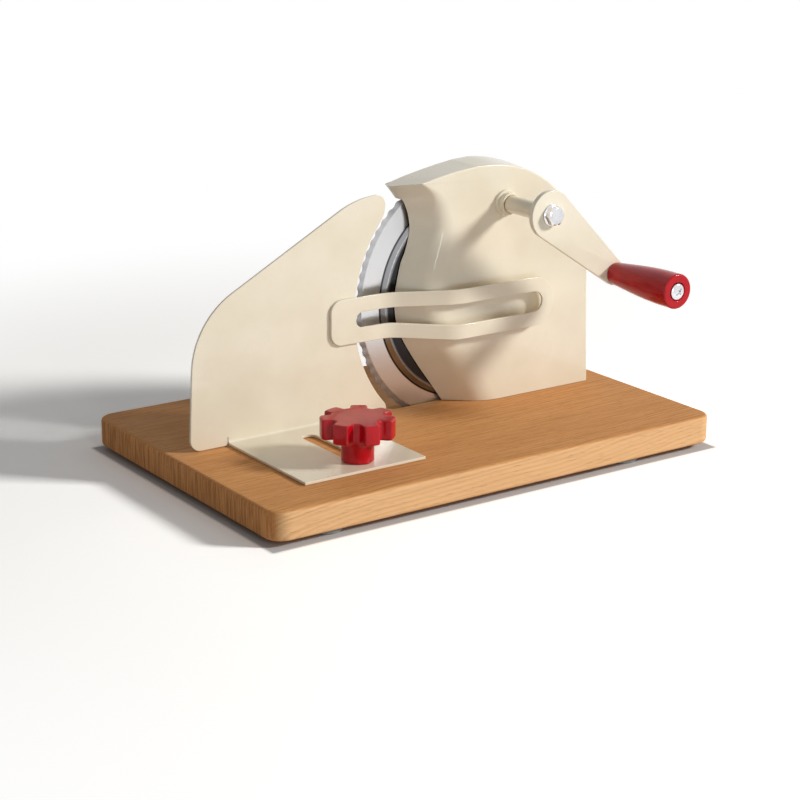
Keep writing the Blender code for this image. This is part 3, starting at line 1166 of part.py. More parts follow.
def guard_elevation(margin):
    """The guard strip seen from the front, a margin inside its outer edge, as (x, z)."""
    top = DECK_Z + GUARD_TOP
    left_low, right_low = top - GUARD_LEFT_HEIGHT, top - GUARD_RIGHT_HEIGHT
    radius = GUARD_RIGHT_HEIGHT / 2 - margin
    end = arc((GUARD_END_X - GUARD_RIGHT_HEIGHT / 2, top - GUARD_RIGHT_HEIGHT / 2), radius,
              -math.pi / 2, math.pi / 2, 14)
    if margin == 0:
        left, corner = GUARD_LEFT_X, GUARD_CORNER_RADIUS
    else:
        left = BLADE_X - FENCE_ARC_RADIUS
        corner = 0.98 * (GUARD_LEFT_HEIGHT / 2 - margin)
    corners = [(left, top - margin, corner), (left, left_low + margin, corner),
               (GUARD_BEND_LEFT_X, left_low + margin, 0),
               (GUARD_BEND_RIGHT_X, right_low + margin, 0)]
    return rounded(corners + [(x, z, 0) for x, z in end], 6)


def add_guard(fence_joint):
    """The slotted guard strip on the fence's front, with its two flush rivets."""
    height = max(GUARD_LEFT_HEIGHT, GUARD_RIGHT_HEIGHT) + 4 * MM
    middle = DECK_Z + GUARD_TOP - height / 2 + 2 * MM
    guard = add_piece("guard_strip", plate([guard_plan()], height), CREAM, fence_joint,
                      (0, 0, middle))
    depth = 4 * (GUARD_LEFT_Y - GUARD_FRONT_Y + GUARD_THICKNESS)
    shape = plate([guard_elevation(0), guard_elevation(GUARD_LEG)], depth)
    combine(guard, add_tool("guard_shape", shape, fence_joint, turn=UPRIGHT), "INTERSECT")
    combine(guard, add_tool("guard_holes", guard_rivet_holes(), fence_joint, turn=ALONG_Y),
            "DIFFERENCE")
    rivet = rod(GUARD_RIVET_RADIUS, GUARD_LEFT_Y, FENCE_BACK_Y, 16)
    add_copies("guard_rivet", rivet, CREAM, fence_joint,
               [ALONG_Y @ turn for turn in guard_rivet_turns()])


# Clamp


def slide_key_size():
    """Width and length of the key that keeps the fence square."""
    return FENCE_SLOT_WIDTH - 2 * SLIDE_KEY_PLAY, SLIDE_KEY_LENGTH


def knob_outline():
    """The star knob's outline: broad lobes with round flutes between them."""
    points = []
    per_lobe = 8
    for i in range(KNOB_LOBES * per_lobe):
        phase = 2 * math.pi * i / per_lobe
        angle = KNOB_FIRST_LOBE + phase / KNOB_LOBES
        flute = (0.5 - 0.5 * math.cos(phase)) ** 1.6
        radius = KNOB_RADIUS - KNOB_FLUTE_DEPTH * flute
        points.append((radius * math.cos(angle), radius * math.sin(angle)))
    return points


def add_knob(knob_joint):
    """The red star knob and the brass insert moulded into its hub."""
    head = plate([knob_outline()], KNOB_HEAD_HEIGHT)
    knob = add_piece("clamp_knob", head, RED, knob_joint,
                     (0, 0, KNOB_BOTTOM_Z + KNOB_HUB_HEIGHT + KNOB_HEAD_HEIGHT / 2))
    round_edges(knob, KNOB_EDGE_ROUNDING, 2, 50)
    low = KNOB_BOTTOM_Z
    hub = turned([(0, low + KNOB_HUB_HEIGHT + MM), (KNOB_HUB_RADIUS, low + KNOB_HUB_HEIGHT + MM),
                  (KNOB_HUB_RADIUS, low + 0.5 * MM), (KNOB_HUB_RADIUS - 0.5 * MM, low), (0, low)],
                 24)
    combine(knob, add_tool("knob_hub", hub, knob_joint), "UNION")
    outer = STUD_RADIUS + RUN_GAP + INSERT_WALL
    hole = rod(outer + PRESS_GAP, low - MM, low + INSERT_LENGTH + 3 * MM, 20)
    combine(knob, add_tool("insert_hole", hole, knob_joint), "DIFFERENCE")
    insert = tube(STUD_RADIUS + RUN_GAP, outer, low, low + INSERT_LENGTH, 20)
    add_piece("knob_insert", insert, BRASS, knob_joint)


def add_clamp(root):
    """The stud that comes up through the board, and the key that keeps the fence square."""
    place = (FENCE_SLOT_X, KNOB_Y, 0)
    top = DECK_Z + STUD_RISE
    low = FOOT_HEIGHT + SEAT_GAP
    stud = turned([(0, top), (STUD_RADIUS - 0.8 * MM, top), (STUD_RADIUS, top - 0.8 * MM),
                   (STUD_RADIUS, low + STUD_HEAD), (STUD_HEAD_RADIUS, low + STUD_HEAD),
                   (STUD_HEAD_RADIUS, low + MM), (0.7 * STUD_HEAD_RADIUS, low), (0, low)], 20)
    add_piece("clamp_stud", stud, STEEL, root, place)
    width, length = slide_key_size()
    height = SLIDE_KEY_SINK + FENCE_THICKNESS
    outline = [(width / 2, -length / 2), (width / 2, length / 2),
               (-width / 2, length / 2), (-width / 2, -length / 2)]
    key = plate([outline, circle((0, 0), STUD_RADIUS + PRESS_GAP, 20)], height)
    add_piece("slide_key", key, STEEL, root,
              (place[0], place[1], DECK_Z - SLIDE_KEY_SINK + height / 2))


def build_slicer():
    """Build every piece, with the moving ones under empties on their joints' axes."""
    root = make_joint("slicer_frame", (0, CENTRE_SHIFT, 0))
    blade_joint = make_joint("blade_spin_axis", (BLADE_X, 0, BLADE_Z), root)
    crank_joint = make_joint("crank_spin_axis", (CRANK_X, 0, CRANK_Z), root)
    grip_place = (ARM_LENGTH * math.cos(ARM_ANGLE), 0, ARM_LENGTH * math.sin(ARM_ANGLE))
    grip_joint = make_joint("grip_spin_axis", grip_place, crank_joint)
    fence_joint = make_joint("fence_slide_axis", (0, 0, 0), root)
    knob_joint = make_joint("knob_turn_axis", (FENCE_SLOT_X, KNOB_Y, 0), root)
    add_board(root)
    add_feet(root)
    add_housing(root)
    add_housing_screws(root)
    add_axle(root)
    add_blade(blade_joint)
    add_gear(blade_joint)
    add_crank(root, crank_joint)
    add_handle(crank_joint, grip_joint)
    add_fence(fence_joint)
    add_guard(fence_joint)
    add_clamp(root)
    add_knob(knob_joint)
    bpy.context.view_layer.update()


build_slicer()
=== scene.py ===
"""Looks of the hand-cranked bread slicer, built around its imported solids.

The pieces that show get finely rounded meshes with the size and place of their solids, and every
piece gets a procedural finish. Lengths are metres: +X runs along the board to the right, +Y away
from the crank and +Z up from the surface that the feet stand on.
"""
import logging
import math
from collections.abc import Callable, Iterator, Sequence
from contextlib import contextmanager
from dataclasses import dataclass
from enum import Enum

import bmesh
import bpy
from mathutils import Matrix, Vector


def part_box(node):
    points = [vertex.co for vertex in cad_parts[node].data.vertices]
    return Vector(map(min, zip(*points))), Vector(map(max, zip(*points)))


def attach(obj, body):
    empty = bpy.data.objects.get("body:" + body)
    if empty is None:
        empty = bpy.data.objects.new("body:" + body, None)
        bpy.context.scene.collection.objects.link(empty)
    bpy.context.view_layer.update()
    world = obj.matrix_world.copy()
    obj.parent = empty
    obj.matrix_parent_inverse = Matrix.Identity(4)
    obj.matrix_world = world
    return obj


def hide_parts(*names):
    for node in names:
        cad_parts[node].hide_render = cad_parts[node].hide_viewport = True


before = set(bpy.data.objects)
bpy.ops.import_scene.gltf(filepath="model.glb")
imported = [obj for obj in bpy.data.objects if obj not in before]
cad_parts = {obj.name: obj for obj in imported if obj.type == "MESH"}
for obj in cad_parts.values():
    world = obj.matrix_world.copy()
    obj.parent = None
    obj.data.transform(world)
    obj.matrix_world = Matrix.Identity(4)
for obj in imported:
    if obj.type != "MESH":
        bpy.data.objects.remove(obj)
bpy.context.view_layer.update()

MM = 0.001
LOG = logging.getLogger("bread_slicer")

Mesh = bpy.types.Mesh
Point2 = tuple[float, float]
Outline = list[Point2]
Colour = tuple[float, float, float]
Size3 = tuple[float, float, float]
Recipe = dict[str, "Wire | Colour | float"]

# The planes and axes that the sub-assemblies share
BOARD_LOW, BOARD_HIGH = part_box("base_board")
DECK_Z = BOARD_HIGH.z
SHIFT_Y = (BOARD_LOW.y + BOARD_HIGH.y) / 2
SEAT_GAP = 0.3 * MM
BLADE_X = 65.6 * MM
BLADE_Z = DECK_Z + 76 * MM
CRANK_X = 80.8 * MM
CRANK_Z = 168.432 * MM
ARM_LENGTH = 76.5 * MM
ARM_ANGLE = math.radians(-39.5)
ARM_FRONT_Y = -58 * MM
HANDLE_X = CRANK_X + ARM_LENGTH * math.cos(ARM_ANGLE)
HANDLE_Z = CRANK_Z + ARM_LENGTH * math.sin(ARM_ANGLE)
KNOB_X = -86.5 * MM
KNOB_Y = -69 * MM

FLAT_ANGLE = 0.002                # faces that meet flatter than this become one, in radians
WELD = 1e-6                       # vertices closer than this become one

# Steps round the axis of small, middling and large turned pieces
FEW, SOME, MANY = 32, 48, 96

QUARTER = math.pi / 2

# Local Z turned to +Y, and a flat outline stood up in the XZ plane
ALONG_Y = Matrix.Rotation(math.radians(-90), 4, "X")
UPRIGHT = Matrix.Rotation(math.radians(90), 4, "X")


class Body(Enum):
    """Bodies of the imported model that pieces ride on."""

    BASE = "slicer_base"
    BLADE = "blade_wheel"
    CRANK = "crank"
    GRIP = "grip"
    FENCE = "fence"
    KNOB = "knob"


class Slot(Enum):
    """Material slots of the record."""

    WOOD = "board_wood"
    RUBBER = "foot_rubber"
    ENAMEL = "cream_enamel"
    ZINC = "zinc_steel"
    CHROME = "bright_chrome"
    BRASS = "bush_brass"
    BLADE = "blade_steel"
    NYLON = "gear_nylon"
    RED = "red_plastic"


class Cut(Enum):
    """Ways to work one mesh with another."""

    AWAY = "DIFFERENCE"
    ADD = "UNION"
    WITHIN = "INTERSECT"


# Node trees


@dataclass(frozen=True)
class Wire:
    """An output socket that takes part in sums; each sum adds a Math node to its tree."""

    graph: "Graph"
    socket: bpy.types.NodeSocket

    def math(self, operation: str, *others: "Wire | float") -> "Wire":
        """Run one Math operation on this wire and the others.

        Args:
            operation: The Math node's operation.
            others: Further values, in the node's order.

        Returns:
            The result's wire.
        """
        return self.graph.math(operation, self, *others)

    def __add__(self, other: "Wire | float") -> "Wire":
        """Sum."""
        return self.math("ADD", other)

    __radd__ = __add__

    def __sub__(self, other: "Wire | float") -> "Wire":
        """Difference."""
        return self.math("SUBTRACT", other)

    def __rsub__(self, other: float) -> "Wire":
        """Difference from a number."""
        return self.graph.math("SUBTRACT", other, self)

    def __mul__(self, other: "Wire | float") -> "Wire":
        """Product."""
        return self.math("MULTIPLY", other)

    __rmul__ = __mul__

    def __truediv__(self, other: "Wire | float") -> "Wire":
        """Quotient."""
        return self.math("DIVIDE", other)

    def __pow__(self, other: "Wire | float") -> "Wire":
        """Power."""
        return self.math("POWER", other)


class Graph:
    """A node tree that is filled node by node."""

    def __init__(self, tree: bpy.types.NodeTree) -> None:
        """Keep the tree that the nodes go into."""
        self.tree = tree

    def add(self, kind: str, settings: dict | None = None,
            values: dict | None = None) -> bpy.types.Node:
        """Add a node, set what it does, then fill its sockets.

        Args:
            kind: The node's type.
            settings: The node's own properties.
            values: A number, vector, colour or Wire for each input, by its name or place.

        Returns:
            The node.
        """
        node = self.tree.nodes.new(kind)
        for name, setting in (settings or {}).items():
            setattr(node, name, setting)
        for key, value in (values or {}).items():
            socket = node.inputs[key]
            if isinstance(value, Wire):
                self.tree.links.new(value.socket, socket)
            elif socket.type == "RGBA" and len(value) == 3:
                socket.default_value = (*value, 1.0)
            else:
                socket.default_value = value
        return node

    def wire(self, node: bpy.types.Node, output: int | str = 0) -> Wire:
        """Take one of a node's outputs as a wire."""
        return Wire(self, node.outputs[output])

    def out(self, kind: str, settings: dict | None = None, values: dict | None = None,
            output: int | str = 0) -> Wire:
        """Add a node as add() does, and take one of its outputs as a wire."""
        return self.wire(self.add(kind, settings, values), output)

    def math(self, operation: str, *values: Wire | float) -> Wire:
        """Add a Math node and return its wire."""
        return self.out("ShaderNodeMath", {"operation": operation}, dict(enumerate(values)))

    def remap(self, value: Wire, low: Wire | float, high: Wire | float, start: float = 0.0,
              end: float = 1.0) -> Wire:
        """Spread a range of a value over another range, easing in and out.

        Args:
            value: The value.
            low: What becomes start.
            high: What becomes end.
            start: Result at low and below.
            end: Result at high and above.

        Returns:
            The result's wire.
        """
        return self.out("ShaderNodeMapRange", {"interpolation_type": "SMOOTHSTEP"},
                        {0: value, 1: low, 2: high, 3: start, 4: end})


class ShaderGraph(Graph):
    """A material's node tree."""

    def place(self) -> Wire:
        """Object coordinates in metres."""
        return self.out("ShaderNodeTexCoord", output="Object")

    def facing(self) -> Wire:
        """The surface's normal in the object's own space."""
        return self.out("ShaderNodeTexCoord", output="Normal")

    def parts(self, vector: Wire) -> tuple[Wire, Wire, Wire]:
        """Split a vector into its three parts."""
        node = self.add("ShaderNodeSeparateXYZ", values={0: vector})
        return self.wire(node, 0), self.wire(node, 1), self.wire(node, 2)

    def join(self, x: Wire | float, y: Wire | float, z: Wire | float) -> Wire:
        """Make a vector from three parts."""
        return self.out("ShaderNodeCombineXYZ", values={0: x, 1: y, 2: z})

    def noise(self, vector: Wire, scale: float, detail: float = 2.0, roughness: float = 0.5,
              distortion: float = 0.0) -> Wire:
        """Smooth noise from 0 to 1.

        Args:
            vector: Where it is read.
            scale: Lumps per metre.
            detail: Number of finer layers.
            roughness: How strong the finer layers are.
            distortion: How far it swirls.

        Returns:
            The noise's wire.
        """
        return self.out("ShaderNodeTexNoise", {"noise_dimensions": "3D"}, {
            "Vector": vector, "Scale": scale, "Detail": detail, "Roughness": roughness,
            "Distortion": distortion})

    def grain(self, vector: Wire, scale: Size3, detail: float, roughness: float,
              offset: Size3 = (0, 0, 0), distortion: float = 0.0) -> Wire:
        """Smooth noise that is stretched along the axes.

        Args:
            vector: Where it is read.
            scale: Lumps per metre along X, Y and Z.
            detail: Number of finer layers.
            roughness: How strong the finer layers are.
            offset: Shift of the pattern, so that two of them differ.
            distortion: How far it swirls.

        Returns:
            The noise's wire.
        """
        stretched = self.out("ShaderNodeMapping", {"vector_type": "POINT"}, {
            "Vector": vector, "Location": offset, "Scale": scale})
        return self.noise(stretched, 1.0, detail, roughness, distortion)

    def mix(self, share: Wire | float, first: Wire | Colour, second: Wire | Colour) -> Wire:
        """Mix two colours by a share."""
        sockets = {0: share, 6: first, 7: second}
        return self.out("ShaderNodeMix", {"data_type": "RGBA"}, sockets, 2)

    def bump(self, height: Wire, distance: float, strength: float = 1.0,
             normal: Wire | None = None) -> Wire:
        """Turn a height into a normal.

        Args:
            height: From 0 to 1.
            distance: The real depth of that height, in metres.
            strength: Share of it that shows.
            normal: A normal to build on.

        Returns:
            The normal's wire.
        """
        values = {"Strength": strength, "Distance": distance, "Height": height}
        if normal is not None:
            values["Normal"] = normal
        return self.out("ShaderNodeBump", values=values)

    def around(self, centre: Sequence[float]) -> tuple[Wire, Wire]:
        """Measure from an axis along Y.

        Args:
            centre: A point of the axis.

        Returns:
            The distance from the axis and the angle round it.
        """
        x, _, z = self.parts(self.place())
        across, up = x - centre[0], z - centre[2]
        return (across ** 2 + up * up) ** 0.5, self.math("ARCTAN2", up, across)


# Finishes


@dataclass(frozen=True)
class Finish:
    """A procedural finish; each kind fills a Principled shader in its own way."""

    name: str

    def material(self) -> bpy.types.Material:
        """Make the finish's material.

        Returns:
            The material.
        """
        made = bpy.data.materials.new(self.name)
        made.use_nodes = True
        graph = ShaderGraph(made.node_tree)
        shader = made.node_tree.nodes["Principled BSDF"]
        for name, value in self.dress(graph).items():
            if isinstance(value, Wire):
                made.node_tree.links.new(value.socket, shader.inputs[name])
            elif isinstance(value, tuple):
                shader.inputs[name].default_value = (*value, 1.0)
            else:
                shader.inputs[name].default_value = value
        return made

    def dress(self, graph: ShaderGraph) -> Recipe:
        """Say what goes into each of the shader's sockets."""
        raise NotImplementedError


@dataclass(frozen=True)
class Enamel(Finish):
    """Glossy sprayed enamel on sheet metal or a casting."""

    colour: Colour = (0.775, 0.712, 0.580)
    speck_colour: Colour = (0.35, 0.29, 0.2)
    light_share: float = 1.03     # the mottling's light and dark parts, as shares of the colour
    dark_shares: Colour = (0.965, 0.955, 0.925)
    speck_share: float = 0.05
    lumps: float = 0.04 * MM      # depth of the coat's waviness
    peel: float = 0.005 * MM      # depth of its orange peel
    gloss: Point2 = (0.26, 0.34)  # roughness of its shiniest and dullest parts
    cloud_lumps: float = 22       # lumps per metre of each layer
    speck_lumps: float = 900
    wave_lumps: float = 55
    peel_lumps: float = 620

    def dress(self, graph: ShaderGraph) -> Recipe:
        """Cream paint with faint mottling, orange peel and an even gloss.

        Args:
            graph: The material's node tree.

        Returns:
            What goes into each of the shader's sockets.
        """
        place = graph.place()
        cloud = graph.noise(place, self.cloud_lumps, 3, 0.55)
        speck = graph.noise(place, self.speck_lumps, 1, 0.4)
        light = tuple(min(1, part * self.light_share) for part in self.colour)
        dark = tuple(part * share for part, share in zip(self.colour, self.dark_shares))
        colour = graph.mix(graph.remap(cloud, 0.3, 0.7), light, dark)
        colour = graph.mix(graph.remap(speck, 0.66, 0.80) * self.speck_share, colour,
                           self.speck_colour)
        wave = graph.noise(place, self.wave_lumps, 2, 0.5)
        peel = graph.noise(place, self.peel_lumps, 2, 0.5)
        normal = graph.bump(wave, self.lumps, 0.5)
        normal = graph.bump(peel, self.peel, 0.3, normal)
        return {"Base Color": colour, "Roughness": graph.remap(cloud, 0.2, 0.8, *self.gloss),
                "Specular IOR Level": 0.20, "Coat Weight": 0.60, "Coat Roughness": 0.05,
                "Normal": normal}


@dataclass(frozen=True)
class Wood(Finish):
    """Oiled cherry-like plank cut beside the pith, with its grain along X."""

    light: Colour = (0.675, 0.330, 0.122)
    dark: Colour = (0.475, 0.200, 0.064)
    # painted light: colours of the long sides along Y, lighter as where the lamp falls
    painted_lit_side_light: Colour = (0.770, 0.470, 0.240)
    painted_lit_side_dark: Colour = (0.590, 0.310, 0.130)
    end_light: Colour = (0.72, 0.340, 0.130)
    end_dark: Colour = (0.42, 0.172, 0.054)
    end_speck: Colour = (0.30, 0.120, 0.042)
    warm: Colour = (0.545, 0.235, 0.088)
    fibre: Colour = (0.40, 0.170, 0.060)
    shine: Colour = (0.72, 0.41, 0.175)
    pore: Colour = (0.20, 0.075, 0.025)
    pith_y: float = -150 * MM
    pith_z: float = -12 * MM
    pith_slopes: Point2 = (0.06, 0.05)      # how the pith drifts along X, in Y and in Z
    pith_wander: Point2 = (34 * MM, 16 * MM)
    ring: float = 2.6 * MM
    flatness: float = 1.4                   # how much the rings are squeezed in height
    uneven: float = 0.9                     # how much the rings' widths vary
    # Lumps per metre of each layer along X, Y and Z
    bend_lumps: Size3 = (2.6, 9, 9)
    wander_lumps: Size3 = (5, 20, 20)
    warm_lumps: Size3 = (4, 26, 26)
    fibre_lumps: Size3 = (16, 420, 420)
    fine_lumps: Size3 = (60, 1500, 1500)
    pore_lumps: Size3 = (110, 2600, 2600)
    streak_lumps: Size3 = (60, 520, 34)
    speckle_lumps: Size3 = (400, 1500, 900)
    relief: float = 0.05 * MM

    def dress(self, graph: ShaderGraph) -> Recipe:
        """Growth rings about a wandering pith, fibres, pores, darker end grain and painted-lighter
        sides.

        Args:
            graph: The material's node tree.

        Returns:
            What goes into each of the shader's sockets.
        """
        place = graph.place()
        nx, ny, _ = graph.parts(graph.facing())
        late, strength = self.rings(graph, place)
        fibres = graph.grain(place, self.fibre_lumps, 3, 0.6)
        fine = graph.grain(place, self.fine_lumps, 3, 0.6, (5, 5, 5))
        pores = graph.remap(graph.grain(place, self.pore_lumps, 1, 0.5, (9, 2, 4)), 0.60, 0.72)
        warm = graph.grain(place, self.warm_lumps, 2, 0.5, (1, 7, 3))
        # Painted light: faces along Y get lighter side colours and fewer marks, as where the lamp
        # falls
        edge = graph.remap(graph.math("ABSOLUTE", ny), 0.5, 0.95)
        toned = 1 - edge * 0.6
        colour = graph.mix(late * strength, graph.mix(edge, self.light, self.painted_lit_side_light),
                           graph.mix(edge, self.dark, self.painted_lit_side_dark))
        for share, layer in ((graph.remap(warm, 0.35, 0.7) * toned * 0.35, self.warm),
                             (graph.remap(fibres, 0.38, 0.68) * toned * 0.34, self.fibre),
                             (graph.remap(fine, 0.45, 0.7) * 0.22, self.shine),
                             (pores * (0.5 - edge * 0.2), self.pore)):
            colour = graph.mix(share, colour, layer)
        end = graph.remap(graph.math("ABSOLUTE", nx), 0.55, 0.95)
        colour = graph.mix(end * 0.9, colour, self.end_grain(graph, place))
        relief = fibres * 0.5 + fine * 0.3 - pores * 0.6 - late * 0.2
        return {"Base Color": colour, "Roughness": graph.remap(fibres, 0.3, 0.7, 0.48, 0.62),
                "Specular IOR Level": 0.05, "Normal": graph.bump(relief, self.relief, 0.5)}

    def rings(self, graph: ShaderGraph, place: Wire) -> tuple[Wire, Wire]:
        """The growth rings about the pith.

        Args:
            graph: The material's node tree.
            place: Object coordinates.

        Returns:
            Where the late wood of each ring lies, and how dark it is in each ring.
        """
        bend = graph.grain(place, self.bend_lumps, 2, 0.5)
        wander = graph.grain(place, self.wander_lumps, 2, 0.5, (3, 1, 2))
        x, y, z = graph.parts(place)
        across = y - self.pith_y - x * self.pith_slopes[0] + (bend - 0.5) * self.pith_wander[0]
        up = z - self.pith_z - x * self.pith_slopes[1] + (wander - 0.5) * self.pith_wander[1]
        count = (across * across + up * up * self.flatness) ** 0.5 / self.ring
        years = graph.noise(graph.join(count, 0.0, 0.0), 0.9, 2, 0.6)
        count = count + years * self.uneven
        phase = graph.math("FRACT", count)
        late = graph.remap(phase, 0.35, 0.93) * (1 - graph.remap(phase, 0.94, 1.0))
        each = graph.noise(graph.join(count * 0.5, 4.0, 0.0), 1.0, 1, 0.5)
        return late, graph.remap(each, 0.3, 0.7, 0.15, 0.65)

    def end_grain(self, graph: ShaderGraph, place: Wire) -> Wire:
        """The colour of the sawn ends.

        Args:
            graph: The material's node tree.
            place: Object coordinates.

        Returns:
            The colour's wire.
        """
        streaks = graph.grain(place, self.streak_lumps, 3, 0.65, distortion=0.4)
        speckle = graph.grain(place, self.speckle_lumps, 2, 0.6)
        colour = graph.mix(graph.remap(streaks, 0.36, 0.64), self.end_light, self.end_dark)
        return graph.mix(graph.remap(speckle, 0.45, 0.7) * 0.35, colour, self.end_speck)


@dataclass(frozen=True)
class Metal(Finish):
    """Plain metal with faint streaks, smudges and a worn sheen."""

    colour: Colour = (0.62, 0.63, 0.64)
    roughness: float = 0.30
    grain: float = 1500.0         # fine marks per metre
    depth: float = 0.01 * MM
    smudge_lumps: float = 130
    dull_share: float = 0.84      # of the colour, in the smudges
    gloss_shares: Point2 = (0.8, 1.35)

    def dress(self, graph: ShaderGraph) -> Recipe:
        """Metal whose gloss and tone vary a little.

        Args:
            graph: The material's node tree.

        Returns:
            What goes into each of the shader's sockets.
        """
        place = graph.place()
        smudge = graph.noise(place, self.smudge_lumps, 3, 0.6)
        marks = graph.noise(place, self.grain, 2, 0.6)
        dull = tuple(part * self.dull_share for part in self.colour)
        shiny, worn = (self.roughness * share for share in self.gloss_shares)
        return {"Base Color": graph.mix(graph.remap(smudge, 0.35, 0.75), self.colour, dull),
                "Metallic": 1.0,
                "Roughness": graph.remap(smudge, 0.25, 0.75, shiny, worn),
                "Normal": graph.bump(marks, self.depth, 0.4)}


@dataclass(frozen=True)
class BladeSteel(Finish):
    """Polished stainless blade, dull ground edge, and a painted dark reflection in its front hollow.
    """

    edge_radius: float = 90.9 * MM
    dish_radius: float = 76.6 * MM
    step_inner: float = 71.2 * MM
    step_outer: float = 75.4 * MM
    polished: Colour = (0.66, 0.66, 0.67)
    # painted reflection: the front hollow near black, as it mirrors the dark housing, its step grey
    painted_dark_reflection: Colour = (0.035, 0.035, 0.038)
    painted_step_reflection: Colour = (0.30, 0.30, 0.31)
    ground_dark: Colour = (0.26, 0.26, 0.27)
    ground_light: Colour = (0.44, 0.44, 0.45)
    blur: float = 0.4 * MM        # half the width over which the zones meet
    scratch: float = 0.002 * MM
    ring_lumps: float = 5200      # turned rings per metre of radius
    ground_lumps: Point2 = (420, 160)       # grinding marks per radian and per metre of radius
    smudge_lumps: float = 90

    def dress(self, graph: ShaderGraph) -> Recipe:
        """Fine rings on the faces, and radial grinding marks on the bevel.

        Args:
            graph: The material's node tree.

        Returns:
            What goes into each of the shader's sockets.
        """
        radius, angle = graph.around((BLADE_X, 0, BLADE_Z))
        _, ny, _ = graph.parts(graph.facing())
        rings = graph.noise(graph.join(radius * self.ring_lumps, 0.0, 0.0), 1.0, 2, 0.6)
        round_lumps, out_lumps = self.ground_lumps
        ground = graph.noise(graph.join(angle * round_lumps, radius * out_lumps, 0.0), 1.0, 2, 0.6)
        smudge = graph.noise(graph.place(), self.smudge_lumps, 3, 0.6)
        bevel = graph.remap(radius, self.edge_radius, self.edge_radius + 0.5 * MM)
        blur = self.blur
        rim = graph.remap(radius, self.dish_radius - blur, self.dish_radius + blur)
        step = (graph.remap(radius, self.step_inner - 3 * blur, self.step_inner + 3 * blur)
                * (1 - graph.remap(radius, self.step_outer - blur, self.step_outer + blur)))
        # Painted reflection: the front of the hollow is painted near black and its step grey, for
        # the dark housing it mirrors
        hollow = graph.remap(ny, -0.2, -0.4) * (1 - rim)
        colour = graph.mix(hollow, self.polished,
                           graph.mix(step, self.painted_dark_reflection, self.painted_step_reflection))
        colour = graph.mix(bevel, colour, graph.mix(ground, self.ground_dark, self.ground_light))
        roughness = graph.remap(smudge, 0.25, 0.75, 0.21, 0.25) + rings * 0.04
        roughness = roughness * (1 - bevel) + bevel * (0.40 + 0.14 * ground)
        height = rings * (1 - bevel) * 0.15 + ground * bevel
        return {"Base Color": colour, "Metallic": 1.0, "Roughness": roughness,
                "Normal": graph.bump(height, self.scratch, 0.5)}


@dataclass(frozen=True)
class Moulded(Finish):
    """Moulded plastic or rubber."""

    colour: Colour = (0.50, 0.004, 0.011)
    roughness: float = 0.11
    specular: float = 0.22
    texture: float = 70.0         # waves per metre in its skin
    depth: float = 0.03 * MM
    coat: float = 0.0             # weight of a glossy skin
    scuff_lumps: float = 1400
    deep_share: float = 0.80      # of the colour, in the flow marks
    scuff_share: float = 1.5      # of the roughness, in the scuffs

    def dress(self, graph: ShaderGraph) -> Recipe:
        """An even colour with slight flow marks and fine scuffs.

        Args:
            graph: The material's node tree.

        Returns:
            What goes into each of the shader's sockets.
        """
        place = graph.place()
        flow = graph.noise(place, self.texture, 3, 0.5, 0.6)
        scuff = graph.noise(place, self.scuff_lumps, 2, 0.6)
        deep = tuple(part * self.deep_share for part in self.colour)
        colour = graph.mix(graph.remap(flow, 0.3, 0.7), self.colour, deep)
        rough = graph.remap(scuff, 0.45, 0.8, self.roughness,
                            self.roughness * self.scuff_share)
        return {"Base Color": colour, "Roughness": rough, "Specular IOR Level": self.specular,
                "Coat Weight": self.coat, "Coat Roughness": 0.04,
                "Normal": graph.bump(flow, self.depth, 0.5)}


class Finishes:
    """Every finish of the slicer, by material slot."""

    def __init__(self) -> None:
        """Make the materials once, so that all pieces share them.

        Each kind of finish is made with its slot's own colours and gloss.
        """
        kinds = {
            Slot.WOOD: Wood("oiled_wood"),
            Slot.RUBBER: Moulded("grey_rubber", (0.30, 0.305, 0.30), 0.72, 0.3, 900, 0.03 * MM),
            Slot.ENAMEL: Enamel("cream_enamel"),
            Slot.ZINC: Metal("zinc_plate"),
            Slot.CHROME: Metal("bright_chrome", (0.80, 0.80, 0.82), 0.07, 700, 0.004 * MM),
            Slot.BRASS: Metal("turned_brass", (0.72, 0.52, 0.22), 0.26),
            Slot.BLADE: BladeSteel("blade_steel"),
            Slot.NYLON: Moulded("black_nylon", (0.045, 0.045, 0.048), 0.42, 0.4, 300, 0.01 * MM),
            Slot.RED: Moulded("red_plastic", roughness=0.18, specular=0.12, coat=0.3),
        }
        self.materials = {slot: kind.material() for slot, kind in kinds.items()}

    def paint(self, obj: bpy.types.Object, slot: Slot) -> None:
        """Give an object the material of a slot."""
        obj.data.materials.clear()
        obj.data.materials.append(self.materials[slot])


FINISHES = Finishes()


# Mesh tools


@contextmanager
def edited(mesh: Mesh) -> Iterator[bmesh.types.BMesh]:
    """Open a mesh for changes, and write them back at the end.

    Args:
        mesh: The mesh; a new one is empty at first.

    Yields:
        The mesh in its editable form.
    """
    shape = bmesh.new()
    shape.from_mesh(mesh)
    yield shape
    shape.to_mesh(mesh)
    shape.free()


def bake(obj: bpy.types.Object, merge: float = WELD) -> Mesh:
    """Turn an object with its modifiers into a plain mesh and remove the object.

    Args:
        obj: The object.
        merge: Distance within which vertices are welded, or zero.

    Returns:
        The mesh.
    """
    bpy.context.view_layer.update()
    graph = bpy.context.evaluated_depsgraph_get()
    mesh = bpy.data.meshes.new_from_object(obj.evaluated_get(graph))
    bpy.data.objects.remove(obj, do_unlink=True)
    if merge:
        with edited(mesh) as shape:
            bmesh.ops.remove_doubles(shape, verts=shape.verts, dist=merge)
    return mesh


def shown(data: bpy.types.ID, name: str = "work") -> bpy.types.Object:
    """Link a new object.

    Args:
        data: The mesh, curve, lamp or camera that it holds.
        name: Its name.

    Returns:
        The object.
    """
    obj = bpy.data.objects.new(name, data)
    bpy.context.scene.collection.objects.link(obj)
    return obj


